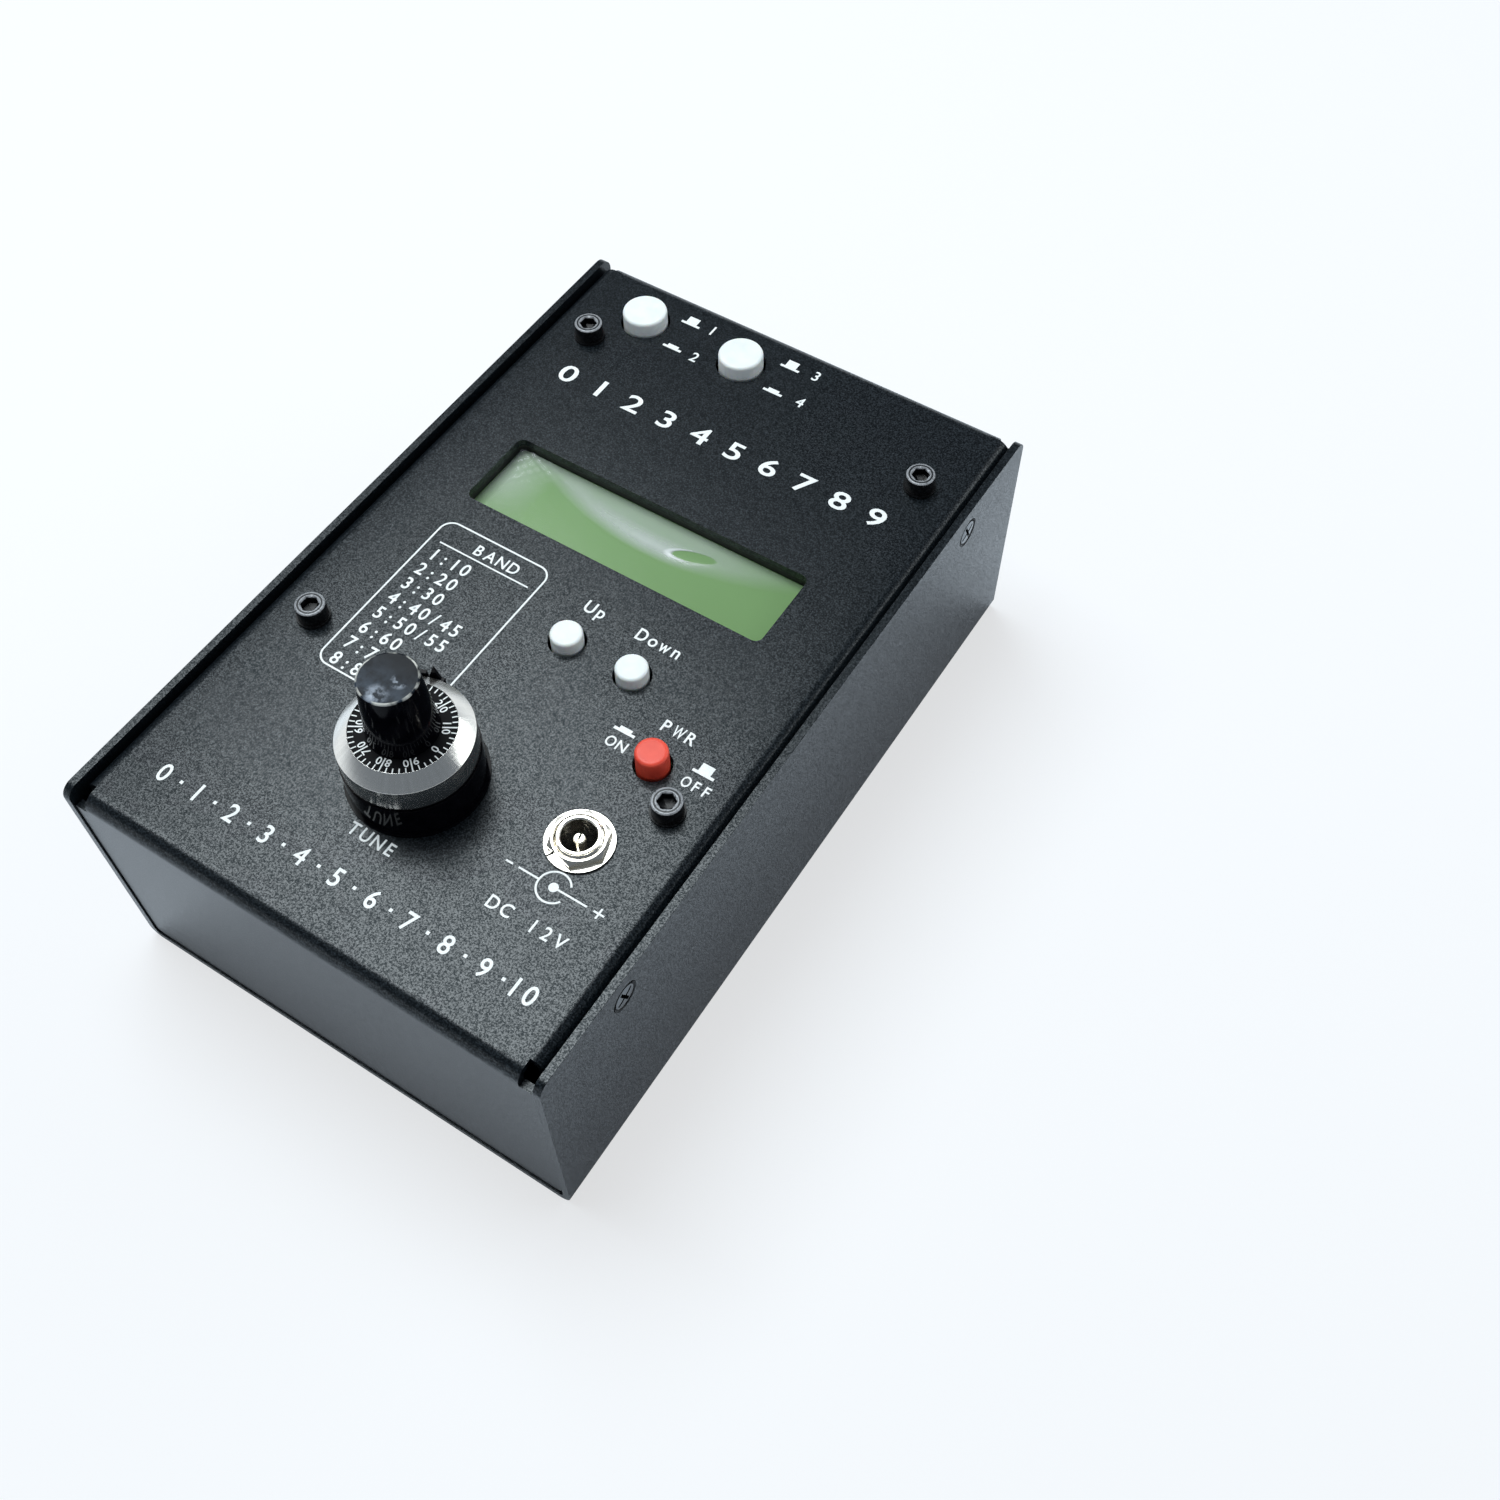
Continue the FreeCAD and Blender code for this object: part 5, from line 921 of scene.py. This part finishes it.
# %% [markdown]
# ## Push buttons
# The caps are moulded plastic with a rounded upper edge. White plastic lets a little light in
# below its skin, so its shadows stay soft; a small subsurface amount gives that.

# %% Button caps
def moulded(name, colour, worn_tone_and_rim_highlight, depth):
    """Moulded plastic: two near tones in slow clouds, a faint grain, and light under the skin."""
    plastic = Finish(name)
    cloud, fine = plastic.noise(3.0, detail=3.0), plastic.noise(0.15, detail=1.0, seed=20.0)
    tone = plastic.blend(cloud.above(0.35, 0.75), colour, worn_tone_and_rim_highlight)
    return plastic.surface(
        tone, 0.38 + cloud * 0.12, plastic.bump(fine, 0.003), subsurface_weight=depth,
        subsurface_radius=(0.004, 0.003, 0.002), subsurface_scale=0.12)


white_plastic = moulded("white_plastic", (0.88, 0.91, 0.90), (0.80, 0.84, 0.84), 0.25)
red_plastic = moulded("red_plastic", (0.88, 0.085, 0.045), (0.78, 0.065, 0.038), 0.15)
PLUNGER_BORE, CAP_WALL, STEM, STEM_GAP = 2.0, 2.0, 1.75, 0.9
stem_top = box_of("up_switch_body")[1][2] + STEM_GAP - box_of("up_button")[0][2]


def latch_section(radius, tall):
    """A cap with a bore for its plunger: its wall leans in by a hair and curves into the crown."""
    return [(0.0, tall - CAP_WALL), (PLUNGER_BORE, tall - CAP_WALL), (PLUNGER_BORE, 0.0),
            (radius - 0.04, 0.0, 0.1), (radius, 0.3, 0.3), (radius - 0.05, tall, 0.75),
            (radius * 0.5, tall, 0.1), (0.0, tall)]


def step_section(radius, tall):
    """A cap on the stem that reaches down into its switch."""
    return [(0.0, 0.0), (STEM, 0.0, 0.1), (STEM, stem_top), (radius, stem_top, 0.1),
            (radius - 0.04, tall, 0.7), (radius * 0.5, tall, 0.1), (0.0, tall)]


def button_cap(key, node, section, finish, slot):
    """A turned cap in the place of its node."""
    low, high = box_of(node)
    at = ((low[0] + high[0]) / 2, (low[1] + high[1]) / 2, low[2])
    corners = section((high[0] - low[0]) / 2, high[2] - low[2])
    made = piece(f"{key}_cap", [moved(lathed(corners, steps=7), at)], finish)
    stand_for(made, f"{key}_key", slot, node)


button_cap("band", "band_button_cap", latch_section, white_plastic, "white_plastic")
button_cap("range", "range_button_cap", latch_section, white_plastic, "white_plastic")
button_cap("power", "power_button_cap", latch_section, red_plastic, "red_plastic")
button_cap("up", "up_button", step_section, white_plastic, "white_plastic")
button_cap("down", "down_button", step_section, white_plastic, "white_plastic")

# %% [markdown]
# ## The power inlet
# A nickel-plated barrel with an M8 thread comes up through the panel, a nut and a split washer
# hold it, and a slotted pin stands in its bore with a thin leaf contact beside it. The thread is
# a real ridge: on the grid of a turned surface, the radius of each point drops with its place in
# the pitch, and the pitch moves with the angle, so the ridge climbs as a screw's does.

# %% Nickel
plate = Finish("nickel_brass")
haze_and_painted_reflection = plate.noise(1.2, detail=4.0, roughness=0.6)
tone = plate.blend(haze_and_painted_reflection.above(0.35, 0.8), (0.92, 0.88, 0.80), (0.78, 0.75, 0.69))
shine = 0.15 + haze_and_painted_reflection.above(0.4, 0.8) * 0.14
nickel = plate.surface(tone, shine, plate.bump(haze_and_painted_reflection, 0.012), metallic=1.0)


ROWS_PER_TURN = 10


def threaded(radius, low, high, pitch, depth):
    """Rows of a screw thread: radius - depth x a triangle wave of (z / pitch - angle / turn)."""
    count = max(2, int((high - low) / pitch * ROWS_PER_TURN))
    height = np.linspace(low, high, count + 1)[:, None] + np.zeros(AROUND)
    angle = np.arange(AROUND) / AROUND
    phase = np.mod(height / pitch - angle, 1.0)
    wave = np.clip(np.abs(phase * 2 - 1) * 1.4 - 0.2, 0, 1)
    fade = np.clip(np.minimum(height - low, high - height) / (0.5 * pitch), 0, 1)
    return radius - depth * (1 - fade + fade * wave), height


def with_thread(before, thread, after):
    """A turned solid whose section is rows of (radius, z), then the thread, then corners."""
    ones, last = np.ones(AROUND), rounded(after)
    radius = np.vstack([r * ones for r, z in before] + [thread[0], last[:, :1] * ones])
    height = np.vstack([z * ones for r, z in before] + [thread[1], last[:, 1:] * ones])
    return turned(radius, height, loop=True)


# %% Inlet barrel, nut and washer
NUT_FLATS, NUT_BORE, NUT_TURN, CHAMFER = 9.4, 4.02, 47.5, 0.55
BARREL_BORE, FLANGE, FLANGE_TALL = 3.0, 6.0, 1.8
inlet_axis = middle_of("inlet_pin")
inlet_spot = (inlet_axis[0], inlet_axis[1], 0)
foot, RIM = box_of("inlet_barrel")[:, 2]
thread = threaded(3.98, panel_top - 2.0, RIM - 0.25, 0.75, 0.36)
flange = rounded([(BARREL_BORE, foot), (FLANGE, foot, 0.1), (FLANGE, foot + FLANGE_TALL, 0.1),
                  (3.6, foot + FLANGE_TALL)])
barrel = with_thread(flange, thread, [
    (3.75, RIM - 0.12), (3.62, RIM, 0.05), (3.22, RIM, 0.05), (BARREL_BORE, RIM - 0.22, 0.05),
    (BARREL_BORE, RIM - 0.5)])
inlet_barrel = piece("inlet_sleeve", [moved(barrel, inlet_spot)], nickel, crease=30)
stand_for(inlet_barrel, "case", "nickel_brass", "inlet_barrel")


def hex_nut(flats, thickness, bore, corner_at):
    """A nut with turned-off corners: where the hexagon passes a circle, its faces slope away."""
    angle = math.radians(corner_at) + np.arange(AROUND) * 2 * np.pi / AROUND
    hexa = hexagon(flats, angle, math.radians(corner_at + 30))
    circle = flats / 2 + 0.02
    drop = np.maximum(hexa - circle, 0) * CHAMFER
    ones = np.ones(AROUND)
    face = np.minimum(hexa, circle) - 0.12
    inner, outer = bore * ones, (bore + 0.25) * ones
    radius = np.vstack([inner, outer, face, hexa, hexa, face, outer, inner])
    height = np.vstack([0.2 * ones, 0 * ones, 0 * ones, drop + 0.06, thickness - drop - 0.06,
                        thickness * ones, thickness * ones, (thickness - 0.2) * ones])
    return turned(radius, height, loop=True, start=math.radians(corner_at))


nut_low, nut_high = box_of("inlet_nut")[:, 2]
nut = hex_nut(NUT_FLATS, nut_high - nut_low, NUT_BORE, NUT_TURN)
nut_spot = (inlet_axis[0], inlet_axis[1], nut_low)
inlet_nut = piece("inlet_ring_nut", [moved(nut, nut_spot)], nickel, crease=20)
stand_for(inlet_nut, "case", "nickel_brass", "inlet_nut")
softened("inlet_washer", "inlet_lock_washer", nickel, 0.08, "case", "nickel_brass")

# %% Inlet pin and leaf contact
PIN_R, PIN_NECK, SLIT_HALF, SLIT_DEPTH = 1.05, 0.8, 0.19, 2.6
SLIT_ALONG, SLIT_ACROSS = np.array([-0.23, 0.97]), np.array([0.97, 0.23])
pin_low, pin_high = box_of("inlet_pin")[:, 2]
pin_root = box_of("inlet_insulator")[1][2] + 0.5
pin = lathed([(0, pin_low), (PIN_NECK, pin_low), (PIN_NECK, pin_root), (PIN_R, pin_root),
              (PIN_R, pin_high - 0.22), (0.86, pin_high, 0.1), (0, pin_high)], around=72, steps=6)
inlet_pin = piece("inlet_contact", [moved(pin, inlet_spot)], nickel)
corners = ((-1, -1), (1, -1), (1, 1), (-1, 1))
slit = [SLIT_HALF * a * SLIT_ACROSS + 2.0 * b * SLIT_ALONG for a, b in corners]
slit = prism(slit + inlet_axis[:2], pin_high - SLIT_DEPTH, pin_high + 1)
carved(inlet_pin, [piece("pin_slit", slit, nickel)])
stand_for(inlet_pin, "case", "nickel_brass", "inlet_pin")

LEAF_START, LEAF_END = np.array([0.75, -1.45, -3.2]), np.array([1.75, -2.38, -0.7])
LEAF_HALF, LEAF_SHEET = 0.16, 0.1
aside = np.array([LEAF_END[1] - LEAF_START[1], LEAF_START[0] - LEAF_END[0], 0])
aside *= LEAF_HALF / np.linalg.norm(aside)
edge = [LEAF_START - aside, LEAF_START + aside, LEAF_END + aside, LEAF_END - aside]
leaf_points = np.vstack([edge, np.array(edge) + [0, 0, LEAF_SHEET]])
leaf_points = leaf_points + [inlet_axis[0], inlet_axis[1], RIM]
leaf_faces = [[0, 1, 5, 4], [1, 2, 6, 5], [2, 3, 7, 6], [3, 0, 4, 7], [3, 2, 1, 0], [4, 5, 6, 7]]
leaf = piece("inlet_leaf", [(leaf_points, np.array(leaf_faces))], nickel)
stand_for(leaf, "case", "nickel_brass")

# %% [markdown]
# ## The antenna jack
# A square flange with a threaded barrel, screwed to the far end wall. The flange's corners and
# holes suit a Boolean cut, and the barrel is turned with a real thread like the inlet's.

# %% Jack shell
HALF_FLANGE, FLANGE_ROUND, FLANGE_SHEET, HOLE_STEP, HOLE_R = 12.7, 2.0, 2.0, 9.13, 1.6
NECK, NECK_LONG, THREAD_FROM, THREAD_PITCH, THREAD_DEEP = 7.3, 2.75, 2.8, 1.058, 0.55
HUB_R, MOUTH, MOUTH_DEPTH, CORE_R, EASE = 5.5, 4.06, 9.0, 3.5, 0.12
jack_level = middle_of("antenna_jack_shell")[2]
jack_near, jack_end = box_of("antenna_jack_shell")[:, 1]
wall = box_of("top_cover")[1][1]


def flange_edge(half, corner, angle):
    """Radius of a rounded square: the flat sides' distance, eased into arcs at the corners."""
    c, s = np.abs(np.cos(angle)), np.abs(np.sin(angle))
    flat = half / np.maximum(c, s)
    k = half - corner
    inside = np.maximum((k * (c + s)) ** 2 - (2 * k * k - corner * corner), 0)
    arc_reach = k * (c + s) + np.sqrt(inside)
    touch = flat * np.minimum(c, s) > k
    return np.where(touch, arc_reach, flat)


square = flange_edge(HALF_FLANGE, FLANGE_ROUND, np.arange(AROUND) * 2 * np.pi / AROUND)
face = wall + FLANGE_SHEET
before = [(HUB_R, jack_near), (HUB_R, wall), (square - EASE, wall), (square, wall + EASE),
          (square, face - EASE), (square - EASE, face), (NECK, face), (NECK, face + NECK_LONG)]
thread = threaded(7.93, face + THREAD_FROM, jack_end - 0.25, THREAD_PITCH, THREAD_DEEP)
mouth = [(7.35, jack_end - 0.12), (7.1, jack_end, 0.08), (4.4, jack_end, 0.08),
         (MOUTH, jack_end - 0.3, 0.05), (MOUTH, jack_end - MOUTH_DEPTH),
         (CORE_R, jack_end - MOUTH_DEPTH), (CORE_R, jack_near)]
jack = tipped(with_thread(before, thread, mouth))
jack_shell = piece("jack_shell", [moved(jack, (0, 0, jack_level))], nickel, crease=25)
drill = tipped(lathed([(0, -2), (HOLE_R, -2), (HOLE_R, 6), (0, 6)], around=48))
tools = []
for across in (-HOLE_STEP, HOLE_STEP):
    for high_up in (-HOLE_STEP, HOLE_STEP):
        spot = (across, wall - 1, jack_level + high_up)
        tools.append(piece(f"drill_{len(tools)}", [moved(drill, spot)], nickel))
carved(jack_shell, tools)
stand_for(jack_shell, "case", "nickel_brass", "antenna_jack_shell")

# %% [markdown]
# ## The display
# Behind the window a green reflective display lies under glass, with its shipping film still on:
# a thin clear sheet that has lifted here and there. The film is a grid whose height is a sum of
# small waves, with a blister and a crumpled corner, and it is clear apart from haze. The haze is
# placed by shares of the window's width and depth, so that it stays with the blister.

# %% Display finishes
screen = Finish("display_green")
cloud = screen.noise(9.0, detail=2.0)
# The green is painted lighter towards the left and the far end, which is painted shading, with a
# slow cloud of tone on top.
painted_light_gradient = screen.coordinate("X") * -0.006 + screen.coordinate("Y") * 0.012 + 0.42 + cloud * 0.12
tone = screen.blend(painted_light_gradient.above(0.0, 1.0), (0.116, 0.240, 0.060), (0.180, 0.338, 0.120))
display_green = screen.surface(tone, 0.16, specular_ior_level=0.3)

BLISTER_SHARE, BLISTER_DROP = 0.66, 0.285
clear = Finish("clear_film")
veil = clear.noise(6.0, detail=4.0, roughness=0.7, seed=11.0)
low, high = box_of("display_film")
share = (clear.coordinate("X") - low[0]) / (high[0] - low[0])
drop = (high[1] - clear.coordinate("Y")) / (high[1] - low[1])
sweep = drop - 0.47 + (share - 0.53) * (share - 0.53) * 1.9
band = (1 - sweep.above(-0.14, 0.05)) * (1 - share.above(0.66, 0.95) * 0.7)
ridge = (1 - abs(sweep + 0.10).above(0.0, 0.16)) * share.above(0.15, 0.50)
ridge = ridge * (1 - share.above(0.60, 0.72))
end_haze = (1 - share.above(0.0, 0.16)) * (1 - drop.above(0.45, 1.0))
aside = share - BLISTER_SHARE
tilt = drop - BLISTER_DROP + aside * 0.985
around_blister = aside * aside / 0.0046 + tilt * tilt / 0.0056
outline = (1 - abs(around_blister - 1.25).above(0.1, 0.5)) * (1 - share.above(0.60, 0.66))
outside, uneven = around_blister.above(0.75, 1.05), veil * 0.5 + 0.75
haze_share = (band * 0.17 + ridge * 0.24 + end_haze * 0.22) * outside * uneven + outline * 0.3
CLEAR_SHEEN = 0.03
sheen = clear.principled((0.80, 0.84, 0.84), 0.16, specular_ior_level=0.6)
gone = clear.node("ShaderNodeBsdfTransparent")
ports = {0: haze_share.above(0.0, 1.0) + CLEAR_SHEEN, 1: gone, 2: sheen}
clear_film = clear.output(clear.node("ShaderNodeMixShader", ports))
clear_film.surface_render_method = "DITHERED"

# %% Protective film
COLUMNS, ROWS, FILM_SHEET = 260, 80, 0.05
u, v = np.meshgrid(np.linspace(0, 1, COLUMNS), np.linspace(0, 1, ROWS), indexing="xy")
x = low[0] + u * (high[0] - low[0])
y = low[1] + v * (high[1] - low[1])
mid_x = low[0] + BLISTER_SHARE * (high[0] - low[0])
mid_y = high[1] - BLISTER_DROP * (high[1] - low[1])
blister = np.exp(-(((x - mid_x) / 4.2) ** 2 + ((y - mid_y - 0.25 * (x - mid_x)) / 1.3) ** 2))
corner = np.exp(-(((x - low[0]) / 7.0) ** 2 + ((y - high[1]) / 4.0) ** 2))
crumple = np.sin(x * 2.3 + y * 1.1) * np.sin(y * 3.1 - x * 0.7)
lift = 0.02 + 0.22 * blister + corner * (0.35 + 0.25 * crumple) + 0.012 * np.sin(x * 0.55 + 0.4 * y)
lift = np.clip(lift, 0.01, 0.9)
sheet = np.stack([x, y, low[2] + lift], axis=-1).reshape(-1, 3)
cells = (np.arange(ROWS - 1)[:, None] * COLUMNS + np.arange(COLUMNS - 1)).reshape(-1)
sheet_faces = np.stack([cells, cells + 1, cells + COLUMNS + 1, cells + COLUMNS], axis=-1)
film = piece("display_cover_film", [(sheet, sheet_faces)], clear_film, crease=180)
thickness = film.modifiers.new("thickness", "SOLIDIFY")
thickness.thickness, thickness.offset = FILM_SHEET * MM, 1.0
stand_for(film, "case", "clear_film", "display_film")

# %% [markdown]
# ## Everything inside
# The parts under the panel keep their CAD shapes, and each kind gets a finish: boards with their
# tracks, moulded switch bodies, tinned steel, ferrite. They show when the cover is off.

# %% Inner finishes
def plain_finish(name, dark, pale, grain, depth, roughness, metallic):
    """Two tones in a grain of so many millimetres, with a bump of so many."""
    made = Finish(name)
    spots = made.noise(grain, detail=3.0)
    tone = made.blend(spots.above(0.35, 0.7), dark, pale)
    return made.surface(tone, roughness + spots * 0.12, made.bump(spots, depth), metallic=metallic)


board = Finish("circuit_board")
track = board.cells(2.4).above(0.035, 0.05)
weave = board.noise(0.4, detail=2.0)
tone = board.blend(1 - track, (0.010, 0.060, 0.030), (0.030, 0.130, 0.060))
circuit_board = board.surface(tone, 0.30 + weave * 0.1, board.bump(1 - track, 0.03))

FINISHES = {
    "black_steel": black_steel, "nickel_brass": nickel, "circuit_board": circuit_board,
    "gloss_black": gloss_black, "white_plastic": white_plastic, "red_plastic": red_plastic,
    "display_green": display_green, "black_powder_coat": powder_coat, "spun_aluminium": spun,
    "dial_black": scale_black, "clear_film": clear_film,
}
for name, dark, pale, *rest in (
    # slot, dark tone, pale tone, grain (mm), bump (mm), roughness, metallic
    ("zinc_steel", (0.50, 0.51, 0.53), (0.64, 0.65, 0.66), 0.6, 0.008, 0.24, 1.0),
    ("gold_brass", (0.78, 0.52, 0.20), (0.90, 0.66, 0.32), 0.8, 0.004, 0.16, 1.0),
    ("chip_plastic", (0.012, 0.012, 0.013), (0.024, 0.024, 0.026), 0.3, 0.010, 0.50, 0.0),
    ("capacitor_sleeve", (0.02, 0.03, 0.06), (0.04, 0.05, 0.10), 1.0, 0.004, 0.28, 0.0),
    ("wound_ferrite", (0.20, 0.06, 0.02), (0.45, 0.17, 0.06), 0.5, 0.060, 0.30, 0.0),
    ("bare_aluminium", (0.60, 0.61, 0.62), (0.74, 0.75, 0.76), 0.9, 0.010, 0.32, 1.0),
    ("black_bezel", (0.008, 0.008, 0.009), (0.016, 0.016, 0.017), 0.4, 0.008, 0.48, 0.0),
    ("light_guide", (0.62, 0.70, 0.50), (0.72, 0.78, 0.60), 2.0, 0.004, 0.30, 0.0),
    ("switch_housing", (0.020, 0.020, 0.022), (0.04, 0.04, 0.044), 0.5, 0.010, 0.42, 0.0),
    ("pot_housing", (0.012, 0.016, 0.030), (0.020, 0.026, 0.046), 0.7, 0.006, 0.36, 0.0),
    ("insulator_black", (0.010, 0.010, 0.010), (0.03, 0.03, 0.03), 1.6, 0.05, 0.12, 0.0),
    ("insulator_white", (0.70, 0.69, 0.66), (0.80, 0.79, 0.76), 0.8, 0.004, 0.34, 0.0),
):
    FINISHES[name] = plain_finish(name, dark, pale, *rest)
CHANGED = {"display_glass": "display_green", "panel_washers": "black_steel"}
for name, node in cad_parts.items():
    slot = CHANGED.get(name, node.data.materials[0].name.split(".")[0])
    node.data.materials[0] = FINISHES[slot]
print("CAD nodes still shown:", sorted(n for n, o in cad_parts.items() if not o.hide_render))

# %% [markdown]
# ## Springs under the keys
# A key's spring stands between the switch body and the plunger. Each one is copied from its CAD
# node as a piece of its own, and the place of its foot is worked out.

# %% Springs under the keys
for key in ("band", "range", "power"):
    node = f"{key}_switch_spring"
    low, high = box_of(node)
    coil = piece(f"{key}_coil", [triangles_of(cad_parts[node].data)], FINISHES["zinc_steel"])
    stand_for(coil, "case", "zinc_steel", node)
    foot = (*((low + high) / 2)[:2] * MM, low[2] * MM)
    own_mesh(coil)
